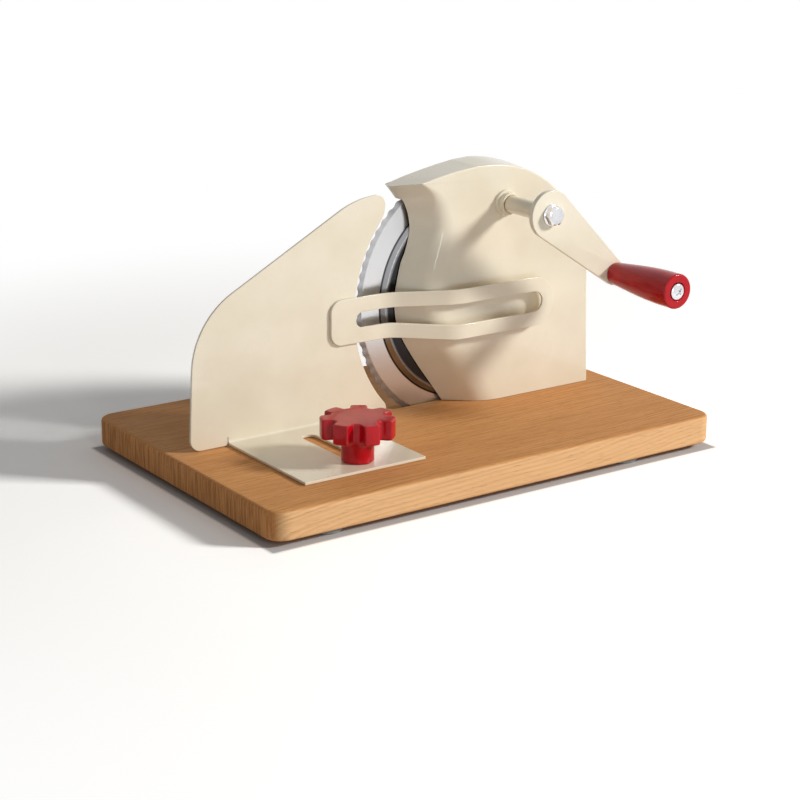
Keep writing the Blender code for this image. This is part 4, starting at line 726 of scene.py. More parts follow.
def solid(rows: Sequence[Sequence[Sequence[float]]], closed: bool = False) -> Mesh:
    """Skin a stack of rings of equally many points; a ring of one point is a pole.

    Args:
        rows: The rings.
        closed: Whether the last ring joins the first one; else both end rings become faces.

    Returns:
        The skinned mesh, with its faces outwards.
    """
    mesh = bpy.data.meshes.new("solid")
    with edited(mesh) as shape:
        made = [[shape.verts.new(point) for point in row] for row in rows]
        pairs = list(zip(made, made[1:])) + ([(made[-1], made[0])] if closed else [])
        for last, here in pairs:
            count = max(len(last), len(here))
            for i in range(count):
                j = (i + 1) % count
                corners = ([last[0]] if len(last) == 1 else [last[i], last[j]])
                corners += ([here[0]] if len(here) == 1 else [here[j], here[i]])
                shape.faces.new(corners)
        if not closed:
            for row in (made[0], made[-1]):
                if len(row) > 2:
                    shape.faces.new(row)
        bmesh.ops.remove_doubles(shape, verts=shape.verts, dist=0.1 * WELD)
        bmesh.ops.recalc_face_normals(shape, faces=shape.faces)
    return mesh


def lathe(profile: Sequence[Point2], steps: int = MANY) -> Mesh:
    """Turn a profile of (radius, height) about Z.

    Args:
        profile: Runs down the outer side; one that starts and ends off the axis is closed.
        steps: Number of steps round the axis.

    Returns:
        The turned solid.
    """
    rows = []
    for radius, height in profile:
        ring = circle((0, 0), radius, steps) if radius > 0.1 * WELD else [(0.0, 0.0)]
        rows.append([(x, y, height) for x, y in ring])
    return solid(rows, closed=profile[0][0] > 0 and profile[-1][0] > 0)


def rod(radius: float, low: float, high: float, steps: int = 64) -> Mesh:
    """A cylinder about Z, used as a cutter or a core."""
    return lathe([(0, high), (radius, high), (radius, low), (0, low)], steps)


def box(size: Sequence[float], centre: Sequence[float] = (0, 0, 0)) -> Mesh:
    """A box, used as a cutter.

    Args:
        size: Its size along X, Y and Z.
        centre: Its centre.

    Returns:
        The box.
    """
    mesh = bpy.data.meshes.new("box")
    with edited(mesh) as shape:
        bmesh.ops.create_cube(shape, size=1.0)
        bmesh.ops.scale(shape, vec=size, verts=shape.verts)
        bmesh.ops.translate(shape, vec=centre, verts=shape.verts)
    return mesh


def plate(outlines: Sequence[Outline], thickness: float) -> Mesh:
    """A flat plate about local Z = 0.

    Args:
        outlines: Its outline and those of its holes.
        thickness: Its thickness.

    Returns:
        The plate.
    """
    curve = bpy.data.curves.new("outline", "CURVE")
    curve.dimensions = "2D"
    curve.fill_mode = "BOTH"
    curve.extrude = thickness / 2
    for outline in outlines:
        spline = curve.splines.new("POLY")
        spline.points.add(len(outline) - 1)
        for point, (x, y) in zip(spline.points, outline):
            point.co = (x, y, 0, 1)
        spline.use_cyclic_u = True
    return bake(shown(curve))


def moved(mesh: Mesh, turn: Matrix) -> Mesh:
    """Put a place and turn into a mesh."""
    mesh.transform(turn)
    return mesh


def worked(mesh: Mesh, *cuts: tuple[Cut, Mesh]) -> Mesh:
    """Cut, join or intersect a mesh with others, in order.

    Args:
        mesh: The mesh to start from.
        cuts: Each what is done and the other mesh.

    Returns:
        The result.
    """
    obj = shown(mesh)
    others = []
    for operation, other in cuts:
        tool = shown(other, "tool")
        step = obj.modifiers.new("cut", "BOOLEAN")
        step.object = tool
        step.operation = operation.value
        step.solver = "EXACT"
        others.append(tool)
    made = bake(obj)
    for tool in others:
        bpy.data.objects.remove(tool, do_unlink=True)
    return made


def less(mesh: Mesh, *cutters: Mesh) -> Mesh:
    """Cut meshes away from a mesh."""
    return worked(mesh, *((Cut.AWAY, cutter) for cutter in cutters))


def flattened(mesh: Mesh) -> Mesh:
    """Make one face of the faces that lie in one plane, so that they shade evenly.

    Args:
        mesh: The mesh, which is changed.

    Returns:
        The same mesh.
    """
    with edited(mesh) as shape:
        bmesh.ops.dissolve_limit(shape, angle_limit=FLAT_ANGLE, verts=shape.verts,
                                 edges=shape.edges)
    return mesh


def softened(mesh: Mesh, width: float, segments: int = 3,
             angle: float = 40.0) -> Mesh:
    """Round a mesh's sharp edges.

    Args:
        mesh: The mesh.
        width: How far the rounding reaches.
        segments: Number of steps across it.
        angle: Edges sharper than this are rounded, in degrees.

    Returns:
        The rounded mesh.
    """
    obj = shown(flattened(mesh))
    bevel = obj.modifiers.new("edges", "BEVEL")
    bevel.width = width
    bevel.segments = segments
    bevel.limit_method = "ANGLE"
    bevel.angle_limit = math.radians(angle)
    bevel.use_clamp_overlap = False
    bevel.miter_outer = "MITER_ARC"
    return bake(obj)


def shaded(mesh: Mesh, angle: float = 35.0, weighted: bool = True) -> Mesh:
    """Shade a mesh smooth, with edges past an angle sharp.

    Args:
        mesh: The mesh.
        angle: Edges past this angle stay sharp, in degrees.
        weighted: Whether its large faces draw the shading of their edges flat.

    Returns:
        The shaded mesh.
    """
    mesh.shade_smooth()
    mesh.set_sharp_from_angle(angle=math.radians(angle))
    if not weighted:
        return mesh
    obj = shown(mesh)
    weigh = obj.modifiers.new("normals", "WEIGHTED_NORMAL")
    weigh.keep_sharp = True
    weigh.weight = 80
    split = obj.modifiers.new("triangles", "TRIANGULATE")
    split.min_vertices = 5
    split.keep_custom_normals = True
    return bake(obj, merge=0)


def install(name: str, mesh: Mesh, body: Body, slot: Slot, *nodes: str,
            angle: float = 35.0, weighted: bool = True) -> bpy.types.Object:
    """Put a finished mesh into the frame in place of its CAD nodes.

    Args:
        name: The piece's name.
        mesh: Its mesh, in place.
        body: The body that it rides on.
        slot: Its material slot.
        nodes: The CAD nodes that it stands for.
        angle: Edges past this angle stay sharp, in degrees.
        weighted: Whether its large faces draw the shading of their edges flat.

    Returns:
        The piece.
    """
    piece = shown(shaded(mesh, angle, weighted), name)
    piece.data.name = name
    FINISHES.paint(piece, slot)
    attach(piece, body.value)
    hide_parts(*nodes)
    LOG.info("%s: %d faces, rides on %s, for %s", name, len(piece.data.polygons), body.value,
             ", ".join(nodes))
    return piece


# Outlines


def arc(centre: Point2, radius: float, start: float, end: float, steps: int) -> Outline:
    """Points along an arc, both ends included."""
    angles = [start + (end - start) * i / steps for i in range(steps + 1)]
    return [(centre[0] + radius * math.cos(a), centre[1] + radius * math.sin(a)) for a in angles]


def circle(centre: Point2, radius: float, steps: int = 64) -> Outline:
    """Points round a circle."""
    return arc(centre, radius, 0, 2 * math.pi, steps)[:-1]


def rounded(corners: Sequence[tuple[float, float, float]], steps: int = 8) -> Outline:
    """An outline through corners, with each corner rounded.

    Args:
        corners: Each corner's (x, y, radius); a radius of zero leaves it sharp.
        steps: Number of steps round each corner.

    Returns:
        The outline.
    """
    outline = []
    for i, (x, y, radius) in enumerate(corners):
        here = Vector((x, y))
        if radius == 0:
            outline.append((x, y))
            continue
        to_last = (Vector(corners[i - 1][:2]) - here).normalized()
        to_next = (Vector(corners[(i + 1) % len(corners)][:2]) - here).normalized()
        half = to_last.angle(to_next) / 2
        middle = here + (to_last + to_next).normalized() * radius / math.sin(half)
        start = here + to_last * radius / math.tan(half) - middle
        end = here + to_next * radius / math.tan(half) - middle
        turn = start.angle_signed(end)
        for step in range(steps + 1):
            spoke = Matrix.Rotation(-turn * step / steps, 2) @ start
            outline.append(tuple(middle + spoke))
    return outline


def long_slot(left: float, right: float, low: float, high: float, grow: float = 0.0,
              steps: int = 24) -> Outline:
    """An outline with straight sides and half-round ends along X.

    Args:
        left: Its left end.
        right: Its right end.
        low: Its lower side.
        high: Its upper side.
        grow: How far it is grown on all sides.
        steps: Number of steps round each end.

    Returns:
        The outline.
    """
    radius = (high - low) / 2
    middle = (high + low) / 2
    return (arc((right - radius, middle), radius + grow, -QUARTER, QUARTER, steps)
            + arc((left + radius, middle), radius + grow, QUARTER, 3 * QUARTER, steps))


def smooth_through(points: Sequence[Point2], steps: int) -> Outline:
    """A smooth open curve through points.

    Args:
        points: The points.
        steps: Number of steps from each one to the next.

    Returns:
        The curve's points.
    """
    ends = [points[0]] + list(points) + [points[-1]]
    curve = []
    for i in range(1, len(ends) - 2):
        before, start, end, after = (Vector(p) for p in ends[i - 1:i + 3])
        for step in range(steps):
            t = step / steps
            curve.append(tuple(0.5 * (2 * start + (end - before) * t
                                      + (2 * before - 5 * start + 4 * end - after) * t ** 2
                                      + (3 * start - before - 3 * end + after) * t ** 3)))
    curve.append(tuple(points[-1]))
    return curve


def supported(outline: Outline, reach: float) -> Outline:
    """Put a point close to both ends of each long side, so that the flats shade flat.

    Args:
        outline: A closed outline.
        reach: How far from the ends the points lie.

    Returns:
        The outline with its new points.
    """
    made = []
    for start, end in zip(outline, outline[1:] + outline[:1]):
        made.append(start)
        side = Vector(end) - Vector(start)
        if side.length > 4 * reach:
            step = side.normalized() * reach
            made += [tuple(Vector(start) + step), tuple(Vector(end) - step)]
    return made


def set_down(x: float, y: float) -> Matrix:
    """The matrix that puts an upright solid at a place over the board."""
    return Matrix.Translation((x, y + SHIFT_Y, 0))


def set_axis(x: float, z: float) -> Matrix:
    """The matrix that puts a turned solid on an axis along +Y."""
    return Matrix.Translation((x, SHIFT_Y, z)) @ ALONG_Y


ON_BLADE = set_axis(BLADE_X, BLADE_Z)
ON_CRANK = set_axis(CRANK_X, CRANK_Z)
ON_HANDLE = set_axis(HANDLE_X, HANDLE_Z)


# Geometry Nodes


class GeometryGraph(Graph):
    """A Geometry Nodes tree with named inputs for its sizes."""

    def __init__(self, name: str, sockets: dict[str, str]) -> None:
        """Make the tree.

        Args:
            name: The tree's name.
            sockets: Each input's name and kind, such as "Float".
        """
        tree = bpy.data.node_groups.new(name, "GeometryNodeTree")
        super().__init__(tree)
        tree.interface.new_socket("Geometry", in_out="OUTPUT", socket_type="NodeSocketGeometry")
        tree.interface.new_socket("Geometry", in_out="INPUT", socket_type="NodeSocketGeometry")
        self.identifiers = {}
        for label, kind in sockets.items():
            socket = tree.interface.new_socket(label, in_out="INPUT",
                                               socket_type=f"NodeSocket{kind}")
            self.identifiers[label] = socket.identifier
        self.source = self.add("NodeGroupInput")

    def given(self, name: str) -> Wire:
        """One of the tree's inputs."""
        return self.wire(self.source, name)

    def finish(self, geometry: Wire) -> None:
        """End the tree in Realize Instances and Set Material.

        Args:
            geometry: What the tree has made.
        """
        real = self.out("GeometryNodeRealizeInstances", values={0: geometry})
        dressed = self.out("GeometryNodeSetMaterial",
                           values={"Geometry": real, "Material": self.given("Material")})
        self.add("NodeGroupOutput", values={0: dressed})

    def run(self, mesh: Mesh, values: dict) -> Mesh:
        """Run the tree on a mesh.

        Args:
            mesh: What goes in.
            values: A value for each named input.

        Returns:
            A plain mesh, with its faces outwards.
        """
        obj = shown(mesh)
        step = obj.modifiers.new(self.tree.name, "NODES")
        step.node_group = self.tree
        for name, value in values.items():
            step[self.identifiers[name]] = value
        made = bake(obj)
        with edited(made) as shape:
            bmesh.ops.recalc_face_normals(shape, faces=shape.faces)
        return made


def waved_lathe_tree() -> GeometryGraph:
    """The tree that turns a profile about Z and draws its edge in and out in waves.

    The profile's vertices hold (radius, 0, height), and its attribute "waver" says how much of the
    waves each one takes. A wave is flat outside the share "Flat" and deepest past the share "Deep".

    Returns:
        The tree.
    """
    graph = GeometryGraph("waved_lathe", {
        "Steps": "Int", "Waves": "Int", "Phase": "Float", "Depth": "Float", "Flat": "Float",
        "Deep": "Float", "Round": "Float", "Material": "Material"})
    profile = graph.given("Geometry")
    size = graph.out("GeometryNodeAttributeDomainSize", values={0: profile})
    grid = graph.out("GeometryNodeMeshGrid", values={
        "Size X": 1.0, "Size Y": 1.0, "Vertices X": graph.given("Steps") + 1, "Vertices Y": size})
    position = graph.out("GeometryNodeInputPosition")
    split = graph.add("ShaderNodeSeparateXYZ", values={0: position})
    angle = (graph.wire(split, 0) + 0.5) * (2 * math.pi)
    row = ((graph.wire(split, 1) + 0.5) * (size - 1)).math("ROUND")
    place = graph.out("GeometryNodeSampleIndex", {"data_type": "FLOAT_VECTOR"}, {
        "Geometry": profile, "Index": row, "Value": position})
    named = graph.out("GeometryNodeInputNamedAttribute", {"data_type": "FLOAT"},
                      {"Name": "waver"})
    waver = graph.out("GeometryNodeSampleIndex", {"data_type": "FLOAT"}, {
        "Geometry": profile, "Index": row, "Value": named})
    parts = graph.add("ShaderNodeSeparateXYZ", values={0: place})
    wave = 0.5 - (angle * graph.given("Waves") + graph.given("Phase")).math("COSINE") * 0.5
    dip = graph.remap(wave, graph.given("Flat"), graph.given("Deep"))
    dip = dip + (dip * dip * (3.0 - dip * 2.0) - dip) * graph.given("Round")
    radius = graph.wire(parts, 0) - dip * waver * graph.given("Depth")
    turned = graph.out("ShaderNodeCombineXYZ", values={
        0: radius * angle.math("COSINE"), 1: radius * angle.math("SINE"),
        2: graph.wire(parts, 2)})
    skin = graph.out("GeometryNodeSetPosition", values={"Geometry": grid, "Position": turned})
    graph.finish(graph.out("GeometryNodeMergeByDistance",
                           values={"Geometry": skin, "Distance": WELD}))
    return graph


def fastener_tree() -> GeometryGraph:
    """The tree that sets a fastener or a foot on each vertex of a mesh.

    Returns:
        The tree.
    """
    graph = GeometryGraph("fasteners", {"Fastener": "Object", "Material": "Material"})
    shape = graph.out("GeometryNodeObjectInfo", {"transform_space": "ORIGINAL"},
                      {"Object": graph.given("Fastener")}, "Geometry")
    graph.finish(graph.out("GeometryNodeInstanceOnPoints", values={
        "Points": graph.given("Geometry"), "Instance": shape}))
    return graph


WAVED_LATHE = waved_lathe_tree()
FASTENERS = fastener_tree()


def waved(profile: Sequence[tuple[float, float, float]], slot: Slot, steps: int, waves: int,
          phase: float, depth: float, flat: float, deep: float,
          soft: float = 0.0) -> Mesh:
    """Turn a profile with a waved edge.

    Args:
        profile: Each point's (radius, height, share of the waves).
        slot: The material slot.
        steps: Number of steps round the axis.
        waves: Number of waves round the axis.
        phase: Where the first one lies, in radians of a wave.
        depth: How deep they are.
        flat: Share of a wave up to which the edge stays out.
        deep: Share past which it is at its deepest.
        soft: How far the corners between flat, flank and bottom are rounded, up to 1.

    Returns:
        The mesh about Z.
    """
    mesh = bpy.data.meshes.new("profile")
    mesh.from_pydata([(radius, 0, height) for radius, height, _ in profile],
                     [(i, i + 1) for i in range(len(profile) - 1)], [])
    waver = mesh.attributes.new("waver", "FLOAT", "POINT")
    waver.data.foreach_set("value", [share for _, _, share in profile])
    return WAVED_LATHE.run(mesh, {
        "Steps": steps, "Waves": waves, "Phase": phase, "Depth": depth, "Flat": flat,
        "Deep": deep, "Round": soft, "Material": FINISHES.materials[slot]})


def scattered(fastener: Mesh, places: Sequence[Sequence[float]],
              slot: Slot) -> Mesh:
    """Set a copy of a fastener at each place.

    Args:
        fastener: Its mesh.
        places: Where the copies go.
        slot: The material slot.

    Returns:
        One mesh with all the copies.
    """
    points = bpy.data.meshes.new("places")
    points.from_pydata([tuple(place) for place in places], [], [])
    template = shown(fastener, "fastener")
    made = FASTENERS.run(points, {"Fastener": template, "Material": FINISHES.materials[slot]})
    bpy.data.objects.remove(template, do_unlink=True)
    return made


# Sub-assemblies


@dataclass(frozen=True)
class Board:
    """The wooden board, its rubber feet and their screws."""

    corner: float = 13 * MM
    edge: float = 2.4 * MM
    slot_right: float = 132.6 * MM
    slot_front: float = 16.6 * MM
    slot_back: float = 24.0 * MM
    slot_break: float = 0.6 * MM
    foot_x: Point2 = (-135.5 * MM, 109.5 * MM)
    foot_y: float = 106.5 * MM
    foot_radius: float = 11 * MM
    foot_top: float = 3.7 * MM
    foot_recess: float = 4 * MM
    recess_depth: float = 1.6 * MM
    foot_bore: float = 2.2 * MM
    foot_screw_radius: float = 1.8 * MM
    foot_screw_head: float = 3.6 * MM
    housing_screws: tuple[Point2, ...] = ((76 * MM, 1.6 * MM), (149 * MM, 1.6 * MM),
                                          (149 * MM, 18.85 * MM))
    screw_bore: float = 2.9 * MM
    screw_sink: float = 6.5 * MM
    sink_depth: float = 6 * MM
    stud_bore: float = 4.06 * MM
    stud_sink: float = 9.4 * MM
    stud_depth: float = 3.6 * MM
    key_pocket: Size3 = (10.5 * MM, 16.6 * MM, 3.6 * MM)

    def places(self) -> list[tuple[float, float, float]]:
        """Where the feet stand."""
        return [(x, y + SHIFT_Y, 0) for x in self.foot_x for y in (-self.foot_y, self.foot_y)]

    def slot_cutter(self) -> Mesh:
        """The blade's slot, with its edge broken at the deck.

        Returns:
            The mesh that cuts the slot.
        """
        half, edge = self.slot_right - BLADE_X, self.slot_break
        rings = []
        for z, grow in ((BOARD_LOW.z - MM, 0), (DECK_Z - edge, 0),
                        (DECK_Z - 0.3 * edge, 0.3 * edge), (DECK_Z, edge), (DECK_Z + MM, edge)):
            outline = long_slot(BLADE_X - half, BLADE_X + half, self.slot_front, self.slot_back,
                                grow)
            rings.append([(x, y + SHIFT_Y, z) for x, y in outline])
        return solid(rings)

    def plank(self) -> Mesh:
        """The board with its slot and its holes from below.

        Returns:
            The board's mesh.
        """
        low, high, corner = BOARD_LOW, BOARD_HIGH, self.corner
        outline = rounded([(high.x, low.y, corner), (high.x, high.y, corner),
                           (low.x, high.y, corner), (low.x, low.y, corner)], 14)
        slab = softened(plate([outline], high.z - low.z), self.edge, 5)
        slab = moved(slab, Matrix.Translation((0, 0, (low.z + high.z) / 2)))
        cuts = [self.slot_cutter()]
        over, under = high.z + MM, low.z - MM
        bore, sink, depth = self.screw_bore, self.screw_sink, low.z + self.sink_depth
        for x, y in self.housing_screws:
            hole = lathe([(0, over), (bore, over), (bore, depth), (sink, depth),
                          (sink, low.z + 0.4 * MM), (sink + 0.6 * MM, low.z - 0.2 * MM),
                          (sink + 0.6 * MM, under), (0, under)], SOME)
            cuts.append(moved(hole, set_down(x, y)))
        bore, sink, depth = self.stud_bore, self.stud_sink, low.z + self.stud_depth
        hole = lathe([(0, over), (bore, over), (bore, depth), (sink, depth), (sink, under),
                      (0, under)], SOME)
        cuts.append(moved(hole, set_down(KNOB_X, KNOB_Y)))
        cuts.append(box(self.key_pocket, (KNOB_X, KNOB_Y + SHIFT_Y, DECK_Z)))
        return flattened(less(slab, *cuts))

    def foot(self) -> Mesh:
        """One rubber foot with its recess for the screw.

        Returns:
            The foot's mesh.
        """
        top, radius, recess, bore = self.foot_top, self.foot_radius, self.foot_recess, self.foot_bore
        floor = top - self.recess_depth
        section = rounded([(radius - 0.4 * MM, top, 0.3 * MM), (radius, 1.4 * MM, 0.5 * MM),
                           (radius - 1.1 * MM, 0, 0.9 * MM), (recess, 0, 0.3 * MM),
                           (recess, floor, 0), (bore, floor, 0), (bore, top, 0)], 4)
        return lathe(section, SOME)

    def foot_screw(self) -> Mesh:
        """One countersunk screw of a foot, with a cross recess.

        Returns:
            The screw's mesh.
        """
        top = self.foot_top - self.recess_depth - SEAT_GAP
        head, shank = self.foot_screw_head, self.foot_screw_radius
        screw = lathe([(0, top + 13 * MM), (shank, top + 11 * MM), (shank, top), (head, top),
                       (head, top - 0.6 * MM), (0.82 * head, top - 1.1 * MM),
                       (0.5 * head, top - 1.4 * MM), (0, top - 1.4 * MM)], FEW)
        return less(screw, *(box((x, y, 1.6 * MM), (0, 0, top - 1.4 * MM))
                             for x, y in ((3.6 * MM, 0.8 * MM), (0.8 * MM, 3.6 * MM))))

    def build(self) -> None:
        """Build and dress the board, its feet and their screws.

        The four feet are one piece, and so are their screws.
        """
        install("plank", self.plank(), Body.BASE, Slot.WOOD, "base_board")
        numbers = (1, 2, 3, 4)
        install("feet", scattered(self.foot(), self.places(), Slot.RUBBER), Body.BASE, Slot.RUBBER,
                *(f"rubber_foot_{n}" for n in numbers))
        install("foot_screws", scattered(self.foot_screw(), self.places(), Slot.ZINC), Body.BASE,
                Slot.ZINC, *(f"foot_screw_{n}" for n in numbers))


@dataclass(frozen=True)
class Housing:
    """The cast housing: a shell with the blade's pocket, bearing bosses and screw posts.

    Its outline above the deck is given as (x, height) in millimetres, from the left foot up to the
    beak and along the top. The back lists are its open edge beside the blade, the front lists the
    ridge of its front.
    """

    back_left: tuple[Point2, ...] = (
        (51.2, -14), (41.2, 0), (30.9, 14.4), (19.0, 30.6), (7.0, 49.4), (1.6, 62.3), (-0.4, 73.4),
        (-0.1, 85.0), (4.3, 104.8), (8.7, 114.9), (12.0, 128.0), (11.2, 138.1), (8.0, 147.2),
        (3.5, 153.9), (-3.0, 161.7))
    front_left: tuple[Point2, ...] = (
        (74.8, -14), (65.5, 0), (56.5, 13.5), (43.0, 31.0), (31.5, 47.6), (24.6, 62.0), (20.6, 76.0),
        (19.4, 89.5), (20.6, 104.5), (23.8, 117.2), (27.7, 130.0), (26.3, 141.0), (22.8, 150.5),
        (17.5, 158.0), (8.5, 165.2))
    back_top: tuple[Point2, ...] = ((-3.0, 161.7), (12.9, 166.0), (34.6, 170.4), (54.0, 173.6))
    front_top: tuple[Point2, ...] = ((8.5, 165.2), (24.0, 168.4), (39.0, 170.8), (56.0, 172.6))
    top_step: float = 1.9 * MM
    side_step: float = 5.6 * MM
    foot_right: float = 161.3 * MM
    front: float = -5.4 * MM
    inner: float = -2.9 * MM
    pocket_front: float = 14.6 * MM
    back: float = 23.1 * MM
    pocket_radius: float = 96.2 * MM
    rim_radius: float = 98.4 * MM
    edge_rounding: float = 1.3 * MM
    ridge_rounding: float = 8.5 * MM
    foot_rounding: float = 11 * MM
    fade_length: float = 28 * MM  # from the beak's tip down to the fully rounded ridge
    rim_rounding: float = 0.9 * MM
    sink: float = 6 * MM          # how far the hollow is cut on below the deck
    overlength: float = 14 * MM   # how far the shell is drawn on below the deck before it is cut
    left_steps: int = 8
    top_steps: int = 10
    round_steps: int = 60
    across_steps: int = 9
    rim_steps: int = 4
    least_rounding: float = 0.1 * MM
    tip_share: float = 0.45       # the rounding is at most this share of the way to the tip
    lap: float = 0.5 * MM         # how far the shell's sides run past the pocket's floor
    wall: float = 2.5 * MM
    rim_wall: float = 3.4 * MM    # how far the hollow stays inside the pocket's edge
    glancing: float = 0.4         # a wall met more slantingly than this isn't thickened further
    downwards: float = -0.6       # rays that fall more steeply leave the pocket for the foot
    crank_boss: Point2 = (9.4 * MM, 5 * MM)     # radius and back of each boss
    blade_boss: Point2 = (11 * MM, 5.4 * MM)
    post: Point2 = (5.5 * MM, 17 * MM)          # radius and height
    screw_hole: Point2 = (2.65 * MM, 14 * MM)   # radius and height
    shaft_bore: float = 6.54 * MM
    axle_bore: float = 6.06 * MM
    nose_length: float = 7.2 * MM
    pocket_steps: int = 288

    def outlines(self) -> tuple[Outline, Outline, int]:
        """Draw the outlines from foot to foot.

        Returns:
            The back one, the front one, and how many points the left side has.
        """
        sides = []
        low = DECK_Z + SEAT_GAP
        for left, top, drops, foot_x in (
                (self.back_left, self.back_top, (0, 0), BLADE_X + self.rim_radius),
                (self.front_left, self.front_top, (self.top_step, self.side_step),
                 self.foot_right)):
            side = smooth_through([(x * MM, low + z * MM) for x, z in left], self.left_steps)
            over = smooth_through([(x * MM, DECK_Z + z * MM) for x, z in top], self.top_steps)
            turn = []
            for i in range(1, self.round_steps + 1):
                angle = math.radians(90 * (1 - i / self.round_steps))
                radius = self.rim_radius - drops[1] - (drops[0] - drops[1]) * math.sin(angle)
                turn.append((BLADE_X + radius * math.cos(angle),
                             BLADE_Z + radius * math.sin(angle)))
            last, foot = Vector(turn[-1]), Vector((foot_x, low))
            foot += (foot - last).normalized() * self.overlength
            down = [tuple(last.lerp(foot, i / self.left_steps))
                    for i in range(1, self.left_steps + 1)]
            sides.append(side[:-1] + over + turn + down)
        return sides[0], sides[1], len(side) - 1

    def rounding(self, point: Point2, tip: Point2, on_left: bool) -> float:
        """How far the front edge is rounded at a point of the outline.

        Args:
            point: The point, as (x, z).
            tip: The beak's tip, where the left side meets the top and the rounding runs out.
            on_left: Whether the point is on the left side.

        Returns:
            The size of the rounding.
        """
        away = math.dist(point, tip)
        size = self.edge_rounding
        if on_left:
            share = 1 - min(1, max(0, (point[1] - DECK_Z) / (BLADE_Z - DECK_Z)))
            fade = min(1, away / self.fade_length)
            size += fade * fade * (3 - 2 * fade) * (
                self.ridge_rounding - self.edge_rounding
                + share * (self.foot_rounding - self.ridge_rounding))
        return min(size, self.least_rounding + self.tip_share * away)

    def shell(self) -> Mesh:
        """The housing's outside as one solid, rounded at its ridge and its rim.

        Returns:
            The outside's mesh.
        """
        back, front, left_count = self.outlines()
        count = len(front)
        seat = self.pocket_front + self.lap
        rings = [[] for _ in range(self.across_steps + 1)]
        rims = [[] for _ in range(self.rim_steps + 1)]
        for i, corner in enumerate(front):
            before, after = max(0, i - 1), min(count - 1, i + 1)
            inwards = []
            for line in (front, back):
                along = Vector((line[after][0] - line[before][0],
                                line[after][1] - line[before][1])).normalized()
                inward = Vector((along.y, 0, -along.x))
                inwards.append(inward)
            size = self.rounding(corner, front[left_count], i < left_count)
            ridge = Vector((corner[0], self.front, corner[1]))
            rear = Vector((back[i][0], seat, back[i][1]))
            start = ridge + (rear - ridge).normalized() * size
            end = ridge + inwards[0] * size
            for k in range(self.across_steps + 1):
                t = k / self.across_steps
                rings[k].append((1 - t) ** 2 * start + 2 * t * (1 - t) * ridge + t ** 2 * end)
            for k in range(self.rim_steps + 1):
                angle = QUARTER * k / self.rim_steps
                rims[k].append(Vector((back[i][0], self.back, back[i][1]))
                               + inwards[1] * self.rim_rounding * (1 - math.sin(angle))
                               - Vector((0, self.rim_rounding * (1 - math.cos(angle)), 0)))
        beside = [Vector((x, seat, z)) for x, z in back]
        rows = rims + [beside] + rings
        mesh = solid([[point + Vector((0, SHIFT_Y, 0)) for point in row] for row in rows])
        with edited(mesh) as shape:
            bmesh.ops.triangulate(shape, faces=[f for f in shape.faces if len(f.verts) == 4])
        return mesh

    def inside(self, outline: Outline, wall: float, y: float, steps: int = 144) -> list[Vector]:
        """A ring that stays a wall's thickness inside an outline, seen from the blade's axis.

        Args:
            outline: The housing's outline at this depth.
            wall: The wall's thickness.
            y: The ring's depth.
            steps: Number of points round it.

        Returns:
            The ring.
        """
        centre = Vector((BLADE_X, BLADE_Z))
        limit = self.pocket_radius - self.rim_wall
        below = DECK_Z - 2 * self.overlength
        outline = [(outline[0][0], below)] + outline + [(outline[-1][0], below)]
        ring = []
        for step in range(steps):
            angle = 2 * math.pi * (step + 0.5) / steps
            ray = Vector((math.cos(angle), math.sin(angle)))
            reach = (BLADE_Z - DECK_Z + self.sink) / max(0.05, -ray.y)
            for first, second in zip(outline, outline[1:]):
                start = Vector(first) - centre
                edge = Vector(second) - Vector(first)
                cross = ray.x * edge.y - ray.y * edge.x
                if cross == 0:
                    continue
                distance = (start.x * edge.y - start.y * edge.x) / cross
                share = (start.x * ray.y - start.y * ray.x) / cross
                if distance > 0 and 0 <= share <= 1:
                    facing = abs(cross) / edge.length
                    reach = min(reach, distance - wall / max(self.glancing, facing))
            radius = min(reach, limit) if ray.y > self.downwards else reach
            ring.append(Vector((BLADE_X + radius * ray.x, y + SHIFT_Y, BLADE_Z + radius * ray.y)))
        return ring

    def cavity(self) -> Mesh:
        """The hollow behind the front, with the bosses and screw posts left standing in it.

        Returns:
            The mesh that cuts the hollow.
        """
        back, front, _ = self.outlines()
        share = (self.pocket_front - self.inner) / (self.pocket_front - self.front)
        inner = [tuple(Vector(b).lerp(Vector(f), share)) for b, f in zip(back, front)]
        hollow = solid([self.inside(back, self.wall, self.pocket_front + MM),
                        self.inside(inner, self.wall + self.foot_rounding / 3, self.inner)])
        cuts = [moved(rod(radius, self.inner - MM, end), axis) for (radius, end), axis in
                ((self.crank_boss, ON_CRANK), (self.blade_boss, ON_BLADE))]
        low = DECK_Z + SEAT_GAP
        radius, height = self.post
        for x, y in Board.housing_screws[:2]:
            cuts.append(moved(rod(radius, low - 10 * MM, low + height, SOME), set_down(x, y)))
        return less(hollow, *cuts)

    def nose(self) -> Mesh:
        """The crank's stepped boss on the front.

        Returns:
            The boss's mesh.
        """
        front = self.front
        tip = front - self.nose_length
        collar, neck, end = 9.4 * MM, 7.4 * MM, 7.9 * MM
        section = rounded([(0, front + MM, 0), (collar + MM, front + MM, 0),
                           (collar, front - 0.2 * MM, 0.8 * MM),
                           (collar, front - 2.4 * MM, 0.5 * MM),
                           (neck, front - 2.7 * MM, 0.4 * MM), (neck, front - 3.3 * MM, 0.2 * MM),
                           (end, front - 3.6 * MM, 0.3 * MM), (end, tip, 0.6 * MM),
                           (0, tip, 0)], 4)
        return moved(lathe(section[::-1]), ON_CRANK)

